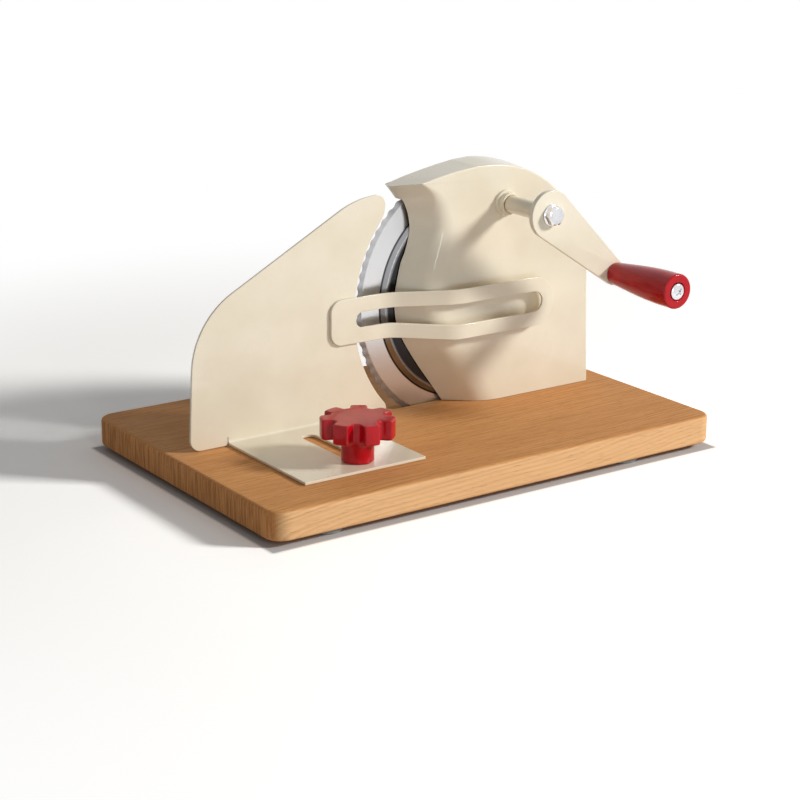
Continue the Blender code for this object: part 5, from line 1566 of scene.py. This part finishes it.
    def build(self) -> None:
        """Build and dress the housing.

        The shell is drawn on below the deck first, so that its foot is cut off level.
        """
        flare, edge = self.rim_rounding, self.pocket_radius
        pocket = lathe([(0, self.back + MM), (edge + flare, self.back + MM),
                        (edge + flare, self.back), (edge + 0.3 * flare, self.back - 0.3 * flare),
                        (edge, self.back - flare), (edge, self.pocket_front),
                        (0, self.pocket_front)], self.pocket_steps)
        low = DECK_Z + SEAT_GAP
        spare = box((0.6, 0.3, 2 * self.overlength), (0, 0, low - self.overlength))
        shaft_hole = rod(self.shaft_bore, self.front - 9 * MM, 6 * MM)
        axle_hole = rod(self.axle_bore, self.front + 2 * MM, 6.4 * MM)
        cuts = [(Cut.AWAY, spare),
                (Cut.AWAY, self.cavity()),
                (Cut.AWAY, moved(pocket, ON_BLADE)),
                (Cut.ADD, self.nose()),
                (Cut.AWAY, moved(shaft_hole, ON_CRANK)),
                (Cut.AWAY, moved(axle_hole, ON_BLADE))]
        radius, height = self.screw_hole
        for x, y in Board.housing_screws:
            hole = rod(radius, low - MM, low + height, FEW)
            cuts.append((Cut.AWAY, moved(hole, set_down(x, y))))
        install("casting", flattened(worked(self.shell(), *cuts)), Body.BASE, Slot.ENAMEL,
                "housing", angle=40)


@dataclass(frozen=True)
class BladeWheel:
    """The scalloped blade and its lock screw."""

    radius: float = 95 * MM
    front: float = 18 * MM
    back: float = 19.5 * MM
    bevel: float = 4.2 * MM
    edge: float = 0.3 * MM
    dish_radius: float = 76 * MM
    dish_front: float = 15.4 * MM
    dish_back: float = 16.9 * MM
    ramp: float = 3.5 * MM
    bore: float = 10.56 * MM
    scallops: int = 72
    scallop_depth: float = 1.1 * MM
    fold: float = 1.6 * MM        # how far the dish's bends are rounded
    support: float = 0.4 * MM
    rivet_circle: float = 33 * MM
    rivets: int = 4
    seat_radius: float = 5.32 * MM
    seat_bore: float = 2.4 * MM
    screw_radius: float = 12 * MM
    screw_front: float = 17.9 * MM
    screw_back: float = 19.2 * MM
    shank_radius: float = 3 * MM
    shank_front: float = 8.6 * MM
    screw_slot: Size3 = (30 * MM, 1.6 * MM, 1.3 * MM)

    def section(self) -> list[tuple[float, float, float]]:
        """The blade's section.

        Returns:
            Its points as (radius, height, share of the scallops), closed on itself.
        """
        step = self.back - self.front
        lean = step * self.ramp / (self.ramp + self.front - self.dish_front)
        inner, foot = self.dish_radius, self.dish_radius - self.ramp
        outline = rounded([
            (self.radius, self.back, 0), (self.radius, self.back - self.edge, 0),
            (self.radius - self.bevel, self.front, 0), (inner, self.front, self.fold),
            (foot, self.dish_front, self.fold), (self.bore, self.dish_front, 0),
            (self.bore, self.dish_back, 0), (foot + lean, self.dish_back, self.fold),
            (inner + lean, self.back, self.fold)], 6)
        outline = supported(outline, self.support)
        outline.append(outline[0])
        band = self.bevel
        return [(r, y, max(0.0, (r - self.radius + band) / band)) for r, y in outline]

    def disc(self) -> Mesh:
        """The blade with the countersunk seats of its rivets.

        Returns:
            The blade's mesh.
        """
        disc = moved(waved(self.section(), Slot.BLADE, 8 * self.scallops, self.scallops, 0,
                           self.scallop_depth, 0.0, 1.0), ON_BLADE)
        over, under = self.dish_back + MM, self.dish_front - MM
        seat = lathe([(0, over), (self.seat_radius, over), (self.seat_bore, self.dish_back - MM),
                      (self.seat_bore, under), (0, under)], FEW)
        return less(disc, *(moved(seat.copy(), set_axis(x, z)) for x, z in
                            circle((BLADE_X, BLADE_Z), self.rivet_circle, self.rivets)))

    def lock_screw(self) -> Mesh:
        """The flat slotted screw that keeps the blade on its axle.

        Returns:
            The screw's mesh.
        """
        low, high, radius, shank = (self.screw_front, self.screw_back, self.screw_radius,
                                    self.shank_radius)
        screw = lathe(rounded([(0, high, 0), (radius, high, 0.5 * MM), (radius, low, 0),
                               (shank, low, 0), (shank, self.shank_front, 0),
                               (0, self.shank_front, 0)], 5))
        return moved(less(screw, box(self.screw_slot, (0, 0, high))), ON_BLADE)

    def build(self) -> None:
        """Build and dress the blade and its lock screw.

        The blade needs no weighted shading, since its section's own points keep its flats flat.
        """
        install("blade_disc", self.disc(), Body.BLADE, Slot.BLADE, "slicing_blade", angle=25,
                weighted=False)
        install("lock_screw", self.lock_screw(), Body.BASE, Slot.CHROME, "blade_lock_screw")


@dataclass(frozen=True)
class Crank:
    """The sleeve, the flat arm and the bolt that holds it."""

    front: float = ARM_FRONT_Y
    thickness: float = 4 * MM
    big_radius: float = 17 * MM
    small_radius: float = 8.8 * MM
    edge: float = 0.55 * MM
    square: float = 7.3 * MM      # across the flats of the shaft's hole
    pin_radius: float = 3.15 * MM
    sleeve_radius: float = 6.16 * MM
    sleeve_bore: float = 5.06 * MM
    sleeve_front: float = -53.7 * MM
    sleeve_back: float = -12.9 * MM
    flange_radius: float = 7.6 * MM
    hexagon: float = 12.4 * MM
    flange: float = 1.3 * MM
    head: float = 4.2 * MM
    shank_radius: float = 2.5 * MM
    shank_back: float = -43 * MM

    def arm(self) -> Mesh:
        """The arm, wide at the shaft and narrow at the handle.

        Returns:
            The arm's mesh.
        """
        lean = math.acos((self.big_radius - self.small_radius) / ARM_LENGTH)
        outline = (arc((0, 0), self.big_radius, lean, 2 * math.pi - lean, 72)
                   + arc((ARM_LENGTH, 0), self.small_radius, -lean, lean, 36))
        side = self.square / 2
        square = [(side, side), (-side, side), (-side, -side), (side, -side)]
        hole = circle((ARM_LENGTH, 0), self.pin_radius, SOME)
        flat = softened(plate([outline, square, hole], self.thickness), self.edge, 4)
        turn = (Matrix.Translation((CRANK_X, self.front + self.thickness / 2 + SHIFT_Y, CRANK_Z))
                @ Matrix.Rotation(-ARM_ANGLE, 4, "Y") @ UPRIGHT)
        return moved(flat, turn)

    def sleeve(self) -> Mesh:
        """The painted sleeve over the shaft.

        Returns:
            The sleeve's mesh.
        """
        inner, outer = self.sleeve_bore, self.sleeve_radius
        back, front, edge = self.sleeve_back, self.sleeve_front, 0.3 * MM
        section = rounded([(outer, back, edge), (outer, front, edge), (inner, front, 0),
                           (inner, back, 0)], 3)
        return moved(lathe(section), ON_CRANK)

    def bolt(self) -> Mesh:
        """The flanged hexagon bolt, with its chamfered head.

        Returns:
            The bolt's mesh.
        """
        seat = self.front - SEAT_GAP
        flange = seat - self.flange
        top = flange - self.head
        corner = self.hexagon / math.sqrt(3)
        body = lathe(rounded([(0, self.shank_back, 0), (self.shank_radius, self.shank_back, 0),
                              (self.shank_radius, seat, 0),
                              (self.flange_radius, seat, 0.3 * MM),
                              (self.flange_radius, seat - 0.6 * MM, 0.3 * MM),
                              (self.hexagon / 2, flange, 0.4 * MM), (0, flange, 0)], 4))
        head = softened(plate([circle((0, 0), corner, 6)], self.head + MM), 0.25 * MM, 3, 50)
        head = moved(head, Matrix.Translation((0, 0, top + (self.head + MM) / 2)))
        cone = lathe(rounded([(0, flange + 3 * MM, 0), (corner + 3 * MM, flange + 3 * MM, 0),
                              (corner + 0.6 * MM, top + 1.5 * MM, 0),
                              (self.hexagon / 2 - 0.7 * MM, top, 0.6 * MM), (0, top, 0)], 4))
        head = worked(head, (Cut.WITHIN, cone))
        return moved(worked(body, (Cut.ADD, head)), ON_CRANK)

    def build(self) -> None:
        """Build and dress the crank's painted parts and its bolt.

        All three turn with the crank; the grip on it is the Handle's.
        """
        install("arm", self.arm(), Body.CRANK, Slot.ENAMEL, "crank_arm")
        install("sleeve", self.sleeve(), Body.CRANK, Slot.ENAMEL, "crank_sleeve")
        install("bolt", self.bolt(), Body.CRANK, Slot.CHROME, "crank_bolt", angle=30)


@dataclass(frozen=True)
class Handle:
    """The red grip and the screw in its end."""

    back: float = ARM_FRONT_Y - SEAT_GAP
    length: float = 65 * MM
    base_radius: float = 8 * MM
    end_radius: float = 12.3 * MM
    end_rounding: float = 1.4 * MM
    recess_radius: float = 6.6 * MM
    recess: float = 1.8 * MM
    bore: float = 4.58 * MM
    swell_end: float = 0.86       # share of the length at which the grip is widest
    swell_power: float = 1.15
    side_steps: int = 40
    end_steps: int = 12
    steps: int = 128
    head_radius: float = 5.7 * MM
    head_height: float = 2.6 * MM
    dome: float = 1.7 * MM
    shank_radius: float = 3 * MM
    shank_back: float = -49.3 * MM
    cross: Size3 = (6.0 * MM, 1.2 * MM, 3.4 * MM)

    def grip(self) -> Mesh:
        """The grip: a cone that swells to its round end.

        Returns:
            The grip's mesh.
        """
        front = self.back - self.length
        spread = self.end_radius - self.base_radius
        side = []
        for i in range(1, self.side_steps + 1):
            share = 0.01 + 0.89 * i / self.side_steps
            swell = math.sin(QUARTER * min(1, share / self.swell_end)) ** self.swell_power
            side.append((self.base_radius + spread * swell, self.back - self.length * share))
        end = [(self.end_radius - self.end_rounding * (1 - math.cos(a)),
                front + self.end_rounding * (1 - math.sin(a)))
               for a in (QUARTER * i / self.end_steps for i in range(self.end_steps + 1))]
        lip = arc((self.recess_radius + 0.5 * MM, front + 0.5 * MM), 0.5 * MM, -QUARTER,
                  -math.pi, 5)
        profile = ([(self.base_radius - 0.7 * MM, self.back),
                    (self.base_radius - 0.2 * MM, self.back - 0.2 * MM)] + side + end + lip
                   + [(self.recess_radius - 0.2 * MM, front + self.recess),
                      (self.bore, front + self.recess), (self.bore, self.back)])
        return moved(lathe(profile, self.steps), ON_HANDLE)

    def screw(self) -> Mesh:
        """The domed screw with a cross recess.

        Returns:
            The screw's mesh.
        """
        under = self.back - self.length + self.recess - 2 * SEAT_GAP
        top = under - self.head_height
        radius, shank, back = self.head_radius, self.shank_radius, self.shank_back
        dome = [(radius * math.sin(a), top + self.dome * (1 - math.cos(a)))
                for a in (QUARTER * i / self.end_steps
                          for i in range(self.end_steps, -1, -1))]
        body = lathe([(0, back), (shank, back), (shank, under), (radius, under)] + dome)
        cuts = [moved(box(self.cross, (0, 0, top)), Matrix.Rotation(turn, 4, "Z"))
                for turn in (math.pi / 4, 3 * math.pi / 4)]
        cuts.append(lathe([(0, top + 2.1 * MM), (0.9 * MM, top + 1.6 * MM),
                           (1.9 * MM, top - MM), (0, top - MM)], FEW))
        return moved(less(body, *cuts), ON_HANDLE)

    def build(self) -> None:
        """Build and dress the grip and its screw."""
        install("red_grip", self.grip(), Body.GRIP, Slot.RED, "handle_grip")
        install("grip_screw", self.screw(), Body.CRANK, Slot.CHROME, "handle_screw", angle=30)


@dataclass(frozen=True)
class Fence:
    """The bent fence plate and the slotted guard strip in front of it."""

    thickness: float = 2 * MM
    front: float = 9.3 * MM
    edge: float = 0.45 * MM
    left: float = -168 * MM
    top_left: Point2 = (-163.5 * MM, 88.7 * MM)
    arc_radius: float = 102.5 * MM
    arc_top: float = 139 * MM
    arc_bottom: float = 10 * MM
    beak: tuple[Point2, Point2] = ((6 * MM, 158.8 * MM), (-20.7 * MM, 157 * MM))
    corner: float = 8 * MM
    foot_rounding: float = 5 * MM
    shoulder: float = 6 * MM
    shoulder_way: Point2 = (0.5, 0.87)      # the way in which the arc's upper end runs on
    top_roundings: Point2 = (70 * MM, 60 * MM)
    flange_left: float = -138.9 * MM
    flange_width: float = 94 * MM
    flange_front: float = -87.7 * MM
    bend: float = 2 * MM
    relief: float = 0.4 * MM      # width of the cuts beside the bend
    slot_width: float = 11 * MM
    slot_front: float = -79.3 * MM
    slot_back: float = -5.5 * MM
    guard_left: float = -57.5 * MM
    guard_bends: Point2 = (-9.8 * MM, 34.3 * MM)
    guard_right: float = 120.7 * MM
    guard_front: float = -13.8 * MM
    guard_top: float = 88.8 * MM
    guard_heights: Point2 = (32.3 * MM, 36.2 * MM)
    guard_leg: float = 10.6 * MM
    guard_corner: float = 9 * MM
    straight_step: float = 4 * MM           # the strip is cut this often, and finer at its bends
    bend_step: float = 0.6 * MM
    plan_steps: int = 600
    guard_bend: float = 35 * MM   # radius of the strip's bends
    rivet_radius: float = 2 * MM
    rivet_inset: float = 10 * MM
    rivet_spread: float = 8 * MM  # from the strip's middle line

    def fin(self) -> Outline:
        """The upright plate's outline, with an arc that follows the blade.

        Returns:
            Its points as (x, z).
        """
        low = DECK_Z + SEAT_GAP
        axis_height = BLADE_Z - DECK_Z
        start = math.pi - math.asin((self.arc_top - axis_height) / self.arc_radius)
        end = math.pi - math.asin((self.arc_bottom - axis_height) / self.arc_radius)
        edge = arc((BLADE_X, BLADE_Z), self.arc_radius, end, start, 72)
        first, last = Vector(edge[0]), Vector(edge[-1])
        slope = Vector((math.sin(end), -math.cos(end)))
        foot = first + slope * (first.y - low) / -slope.y
        right = self.flange_left + self.flange_width
        notch = low + self.bend + 2 * self.thickness
        shoulder = last + Vector(self.shoulder_way) * self.shoulder
        (beak_x, beak_z), (top_x, top_z) = self.beak
        left_cut, right_cut = self.flange_left - self.relief, right + self.relief
        corners = [(self.left, low, self.corner), (left_cut, low, 0), (left_cut, notch, 0),
                   (right_cut, notch, 0), (right_cut, low, 0),
                   (foot.x, low, self.foot_rounding)]
        corners += [(x, z, 0) for x, z in edge]
        corners += [(shoulder.x, shoulder.y, self.shoulder),
                    (last.x + beak_x, DECK_Z + beak_z, self.corner),
                    (last.x + top_x, DECK_Z + top_z, self.top_roundings[0]),
                    (self.top_left[0], DECK_Z + self.top_left[1], self.top_roundings[1])]
        return rounded(corners, 20)

    def section(self) -> Outline:
        """The section of flange and bend, up to where it meets the upright plate.

        Returns:
            Its points as (y, z).
        """
        low, thick, back = DECK_Z + SEAT_GAP, self.thickness, self.front + self.thickness
        outer = self.bend + thick
        high = low + outer + thick
        outside = arc((back - outer, low + outer), outer, -QUARTER, 0, 10)
        inside = arc((self.front - self.bend, low + outer), self.bend, 0, -QUARTER, 10)
        return ([(self.flange_front, low)] + outside + [(back, high), (self.front, high)] + inside
                + [(self.flange_front, low + thick)])

    def sheet(self) -> Mesh:
        """The bent fence plate with its clamping slot.

        Returns:
            The plate's mesh.
        """
        fin = moved(plate([self.fin()], self.thickness),
                    Matrix.Translation((0, self.front + self.thickness / 2, 0)) @ UPRIGHT)
        along_x = Matrix(((0, 0, 1, 0), (1, 0, 0, 0), (0, 1, 0, 0), (0, 0, 0, 1)))
        flange = moved(plate([self.section()], self.flange_width),
                       Matrix.Translation((self.flange_left + self.flange_width / 2, 0, 0))
                       @ along_x)
        half = self.slot_width / 2
        slot = [(KNOB_X + y, x) for x, y in long_slot(self.slot_front, self.slot_back, -half,
                                                      half)][::-1]
        slot = moved(plate([slot], 8 * MM), Matrix.Translation((0, 0, DECK_Z)))
        sheet = softened(worked(fin, (Cut.ADD, flange), (Cut.AWAY, slot)), self.edge, 3)
        return moved(sheet, set_down(0, 0))

    def plan(self) -> Callable[[float, float], tuple[float, float]]:
        """The strip's bends seen from above.

        Returns:
            A function that gives the (x, y) of a place x along the flat strip and a depth into it.
        """
        back = self.front - SEAT_GAP
        first, second = self.guard_bends
        rise = back - self.thickness - self.guard_front
        slant = math.atan2(rise, second - first)
        reach = (self.guard_bend + self.thickness / 2) * math.tan(slant / 2)

        def heading(x: float) -> float:
            """The strip's slant at a place.

            Args:
                x: The place along the strip.

            Returns:
                The slant in radians.
            """
            into = min(1, max(0, (x - first + reach) / (2 * reach)))
            out = min(1, max(0, (x - second + reach) / (2 * reach)))
            return slant * (into - out)

        count = self.plan_steps
        step = (self.guard_right - self.guard_left) / count
        heights = [back - self.thickness]
        for i in range(count):
            heights.append(heights[-1] - step * math.tan(heading(self.guard_left
                                                                 + (i + 0.5) * step)))
        fix = (heights[0] - self.guard_front) / (heights[0] - heights[-1])

        def bent(x: float, depth: float) -> tuple[float, float]:
            """Where a point of the flat strip lies once it is bent.

            Args:
                x: Its place along the strip.
                depth: Its depth into the strip.

            Returns:
                Its place seen from above.
            """
            where = min(count - 1e-6, max(0, (x - self.guard_left) / step))
            low = int(where)
            height = heights[low] + (heights[low + 1] - heights[low]) * (where - low)
            slope = heading(x)
            return (x + depth * math.sin(slope),
                    heights[0] - (heights[0] - height) * fix + depth * math.cos(slope))

        return bent

    def elevation(self, margin: float) -> Outline:
        """The strip seen from the front.

        Args:
            margin: How far inside the outer edge the outline lies; zero gives the edge itself.

        Returns:
            The outline as (x, z).
        """
        top = DECK_Z + self.guard_top
        left_height, right_height = self.guard_heights
        left_low, right_low = top - left_height, top - right_height
        radius = right_height / 2 - margin
        end = arc((self.guard_right - right_height / 2, top - right_height / 2), radius,
                  -QUARTER, QUARTER, SOME)
        if margin == 0:
            left, corner = self.guard_left, self.guard_corner
        else:
            left, corner = BLADE_X - self.arc_radius, 0.98 * (left_height / 2 - margin)
        corners = [(left, top - margin, corner), (left, left_low + margin, corner),
                   (self.guard_bends[0], left_low + margin, 0),
                   (self.guard_bends[1], right_low + margin, 0)]
        return rounded(corners + [(x, z, 0) for x, z in end], 16)

    def strip(self) -> Mesh:
        """The guard strip, cut flat with rounded edges and then bent.

        Returns:
            The strip's mesh.
        """
        flat = softened(plate([self.elevation(0), self.elevation(self.guard_leg)],
                              self.thickness), self.edge, 3)
        places = [self.guard_left + self.straight_step * i for i in range(1, 45)]
        for bend in self.guard_bends:
            places += [bend + self.bend_step * i for i in range(-17, 18)]
        bent = self.plan()
        with edited(flat) as shape:
            bmesh.ops.transform(shape, matrix=UPRIGHT, verts=shape.verts)
            for x in sorted(places):
                bmesh.ops.bisect_plane(shape, dist=WELD, plane_co=(x, 0, 0), plane_no=(1, 0, 0),
                                       geom=shape.verts[:] + shape.edges[:] + shape.faces[:])
            for vertex in shape.verts:
                x, y = bent(vertex.co.x, vertex.co.y + self.thickness / 2)
                vertex.co = (x, y + SHIFT_Y, vertex.co.z)
        return flat

    def rivets(self) -> Mesh:
        """The two flush rivets that hold the strip on the plate.

        Returns:
            One mesh with both rivets.
        """
        low, high = self.front - SEAT_GAP - self.thickness, self.front + self.thickness
        radius, end = self.rivet_radius, low + 0.2 * MM
        rivet = lathe([(0, high + 0.3 * MM), (0.5 * radius, high + 0.25 * MM),
                       (0.85 * radius, high + 0.1 * MM), (radius, high - 0.1 * MM),
                       (radius, end), (0, end)], FEW)
        rivet = moved(rivet, ALONG_Y)
        middle = DECK_Z + self.guard_top - self.guard_heights[0] / 2
        places = [(self.guard_left + self.rivet_inset, SHIFT_Y, middle + side)
                  for side in (-self.rivet_spread, self.rivet_spread)]
        return scattered(rivet, places, Slot.ENAMEL)

    def build(self) -> None:
        """Build and dress the fence plate, the strip and its rivets.

        All of them slide with the fence and have one coat of enamel.
        """
        install("fence_sheet", self.sheet(), Body.FENCE, Slot.ENAMEL, "fence_plate")
        install("strip", self.strip(), Body.FENCE, Slot.ENAMEL, "guard_strip")
        install("strip_rivets", self.rivets(), Body.FENCE, Slot.ENAMEL, "guard_rivet_1",
                "guard_rivet_2")


@dataclass(frozen=True)
class Knob:
    """The red star knob of the clamp."""

    bottom: float = DECK_Z + 2.6 * MM
    hub_radius: float = 10.9 * MM
    hub_height: float = 16.4 * MM
    head_height: float = 13.8 * MM
    radius: float = 25 * MM
    flute: float = 6.4 * MM
    flute_range: Point2 = (0.30, 1.0)       # shares of a wave where a flute starts and is deepest
    flute_soft: float = 1.0
    lobes: int = 7
    first_lobe: float = math.radians(-99.8)
    edge: float = 1.6 * MM
    bore: float = 6.34 * MM
    bore_depth: float = 18 * MM

    def section(self) -> list[tuple[float, float, float]]:
        """The knob's section.

        Returns:
            Its points as (radius, height, share of the flutes).
        """
        low = self.bottom + self.hub_height
        high = low + self.head_height
        hub, waist = self.hub_radius, self.radius - self.flute - 2.5 * MM
        inside = self.bottom + self.bore_depth
        outline = rounded([
            (0, high, 0), (waist, high, 0), (self.radius, high, self.edge),
            (self.radius, low, self.edge), (waist, low, 0), (hub, low, 0),
            (hub, self.bottom, 0.6 * MM), (self.bore, self.bottom, 0), (self.bore, inside, 0),
            (0, inside, 0)], 6)
        return [(r, z, 1.0 if r > self.radius - 1.2 * self.edge else 0.0) for r, z in outline]

    def build(self) -> None:
        """Build and dress the knob.

        The waves start where they put a lobe at the angle of the first one.
        """
        phase = -self.lobes * self.first_lobe
        mesh = waved(self.section(), Slot.RED, 48 * self.lobes, self.lobes, phase, self.flute,
                     *self.flute_range, self.flute_soft)
        install("star_knob", moved(mesh, set_down(KNOB_X, KNOB_Y)), Body.KNOB, Slot.RED,
                "clamp_knob", angle=38)


class PlainPieces:
    """The CAD nodes whose own shape shows, or is hidden inside."""

    slots = {
        Slot.ZINC: ("blade_axle", "blade_lock_washer", "clamp_stud", "slide_key", "crank_shaft",
                    "drive_pinion", "pinion_key", "shaft_circlip_1", "shaft_circlip_2",
                    "handle_sleeve", "handle_nut", *(f"housing_screw_{n}" for n in (1, 2, 3)),
                    *(f"housing_washer_{n}" for n in (1, 2, 3)),
                    *(f"gear_rivet_{n}" for n in (1, 2, 3, 4))),
        Slot.BRASS: ("crank_bush", "blade_bush", "knob_insert"),
        Slot.NYLON: ("blade_gear",),
    }

    def build(self) -> None:
        """Dress the nodes that keep their own meshes.

        They stay in the frame as they are and only get a material.
        """
        for slot, names in self.slots.items():
            for name in names:
                FINISHES.paint(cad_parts[name], slot)
            LOG.info("%s: %s", slot.value, ", ".join(names))


# Studio


@dataclass(frozen=True)
class Lamp:
    """A soft rectangular lamp that faces the slicer."""

    name: str
    direction: Size3
    distance: float
    size: Point2
    power: float
    colour: Colour
    target: Size3 = (0, 0, 80 * MM)

    def place(self) -> None:
        """Add the lamp to the scene.

        It stands in its direction from the target and faces it.
        """
        data = bpy.data.lights.new(self.name, "AREA")
        data.shape = "RECTANGLE"
        data.size, data.size_y = self.size
        data.energy = self.power
        data.color = self.colour
        obj = shown(data, self.name)
        away = Vector(self.direction).normalized()
        turn = away.to_track_quat("Z", "Y").to_matrix().to_4x4()
        obj.matrix_world = Matrix.Translation(Vector(self.target) + away * self.distance) @ turn


@dataclass(frozen=True)
class Studio:
    """Floor, light and camera."""

    scale: float = 0.985
    azimuth: float = math.radians(-34.803)
    elevation: float = math.radians(17.102)
    roll: float = math.radians(0.273)
    distance: float = 1.47346
    aim: Point2 = (0.017237, 0.032037)
    lens: float = 90.22
    sensor: float = 36
    # painted shadow: a dark line painted on the floor along the board's foot
    shadow_line_reach: float = 2 * MM       # reach of the dark line under the board's edge
    painted_shadow_grey: Colour = (0.55, 0.55, 0.56)
    floor_seen: tuple[Colour, Colour] = ((1.50, 1.50, 1.50), (1.49, 1.49, 1.495))
    floor_lit: Colour = (0.78, 0.78, 0.78)
    floor_fade: Point2 = (0.30, 0.72)       # from and to this far out it turns into the backdrop
    floor_size: float = 3.0
    paper_lumps: float = 60
    white: Colour = (1.0, 1.0, 1.0)
    fill_colour: Colour = (1.0, 0.985, 0.96)
    fill: float = 0.22
    lamps: tuple[Lamp, ...] = (
        Lamp("key", (0.82, -0.78, 0.60), 3.2, (0.50, 0.50), 90, (1.0, 0.985, 0.955)),
        Lamp("gleam", (-0.26, -0.95, 0.20), 1.4, (0.13, 0.76), 2.3, (1.0, 1.0, 1.0)))

    def camera(self) -> None:
        """Set the camera at the photograph's viewing angle.

        It looks at a point on the deck, with a small roll about its own axis.
        """
        back = Vector((math.sin(self.azimuth) * math.cos(self.elevation),
                       -math.cos(self.azimuth) * math.cos(self.elevation),
                       math.sin(self.elevation)))
        aim = Vector((self.aim[0] * self.scale, self.aim[1] * self.scale + SHIFT_Y, DECK_Z))
        side = Vector((0, 0, 1)).cross(back).normalized()
        up = back.cross(side)
        turn = Matrix((side, up, back)).transposed() @ Matrix.Rotation(self.roll, 3, "Z")
        lens = bpy.data.cameras.new("camera")
        lens.lens = self.lens
        lens.sensor_width = self.sensor
        camera = shown(lens, "camera")
        camera.matrix_world = (Matrix.Translation(aim + back * self.distance * self.scale)
                               @ turn.to_4x4())
        bpy.context.scene.camera = camera

    def seen(self, graph: ShaderGraph) -> Wire:
        """Tell the rays that show a surface as it is from those that light others.

        Args:
            graph: The tree that the nodes go into.

        Returns:
            One for camera, gloss and glass rays, else zero.
        """
        path = graph.add("ShaderNodeLightPath")
        shown_rays = (graph.wire(path, "Is Camera Ray") + graph.wire(path, "Is Glossy Ray")
                      + graph.wire(path, "Is Transmission Ray"))
        return shown_rays.math("MINIMUM", 1.0)

    def floor(self) -> None:
        """A pale floor that keeps the slicer's shadow and fades into the backdrop.

        The camera sees it brighter than the light that it throws back, so that it looks white
        and doesn't overlight the slicer. A painted contact shadow, a dark line, runs along the foot
        of the board.
        """
        made = bpy.data.materials.new("pale_floor")
        made.use_nodes = True
        made.node_tree.nodes.clear()
        graph = ShaderGraph(made.node_tree)
        x, y, _ = graph.parts(graph.place())
        reach = (x * x + y * y) ** 0.5
        half = (BOARD_HIGH - BOARD_LOW) / 2
        # Painted shadow: a dark line round the board's footprint, shifted half its reach to -X and
        # +Y
        past_x = ((x + self.shadow_line_reach / 2).math("ABSOLUTE") - half.x).math("MAXIMUM", 0.0)
        past_y = ((y - self.shadow_line_reach / 2).math("ABSOLUTE") - half.y).math("MAXIMUM", 0.0)
        past = (past_x * past_x + past_y * past_y) ** 0.5
        paper = graph.noise(graph.place(), self.paper_lumps, 2, 0.5)
        colour = graph.mix(graph.remap(past, 0.0, 2 * self.shadow_line_reach), self.painted_shadow_grey,
                           graph.mix(paper, *self.floor_seen))
        seen = graph.out("ShaderNodeBsdfDiffuse", values={"Color": colour})
        lit = graph.out("ShaderNodeBsdfDiffuse", values={"Color": self.floor_lit})
        both = graph.out("ShaderNodeMixShader", values={0: self.seen(graph), 1: lit, 2: seen})
        white = graph.out("ShaderNodeEmission", values={"Color": self.white, "Strength": 1.0})
        faded = graph.out("ShaderNodeMixShader", values={
            0: graph.remap(reach, *self.floor_fade), 1: both, 2: white})
        graph.add("ShaderNodeOutputMaterial", values={0: faded})
        mesh = bpy.data.meshes.new("floor")
        with edited(mesh) as shape:
            bmesh.ops.create_grid(shape, x_segments=8, y_segments=8, size=self.floor_size)
        mesh.materials.append(made)
        shown(mesh, "floor")

    def world(self) -> None:
        """A white backdrop that fills the shadows gently.

        The camera sees it pure white, while it lights the slicer with a weak warm fill.
        """
        world = bpy.data.worlds.new("studio")
        world.use_nodes = True
        world.node_tree.nodes.clear()
        graph = ShaderGraph(world.node_tree)
        fill = graph.out("ShaderNodeBackground", values={"Color": self.fill_colour,
                                                         "Strength": self.fill})
        white = graph.out("ShaderNodeBackground", values={"Color": self.white, "Strength": 1.0})
        both = graph.out("ShaderNodeMixShader", values={0: self.seen(graph), 1: fill, 2: white})
        graph.add("ShaderNodeOutputWorld", values={0: both})
        bpy.context.scene.world = world

    def build(self) -> None:
        """Set up floor, backdrop, lamps and camera.

        Colours are shown without a film curve.
        """
        self.floor()
        self.world()
        for lamp in self.lamps:
            lamp.place()
        self.camera()
        bpy.context.scene.view_settings.view_transform = "Standard"


def main() -> None:
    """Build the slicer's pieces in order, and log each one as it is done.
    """
    for part in (Board(), Housing(), BladeWheel(), Crank(), Handle(), Fence(), Knob(),
                 PlainPieces(), Studio()):
        part.build()
        LOG.info("%s is done", type(part).__name__)


if __name__ == "__main__":
    logging.basicConfig(level=logging.INFO, format="%(name)s: %(message)s")
    main()
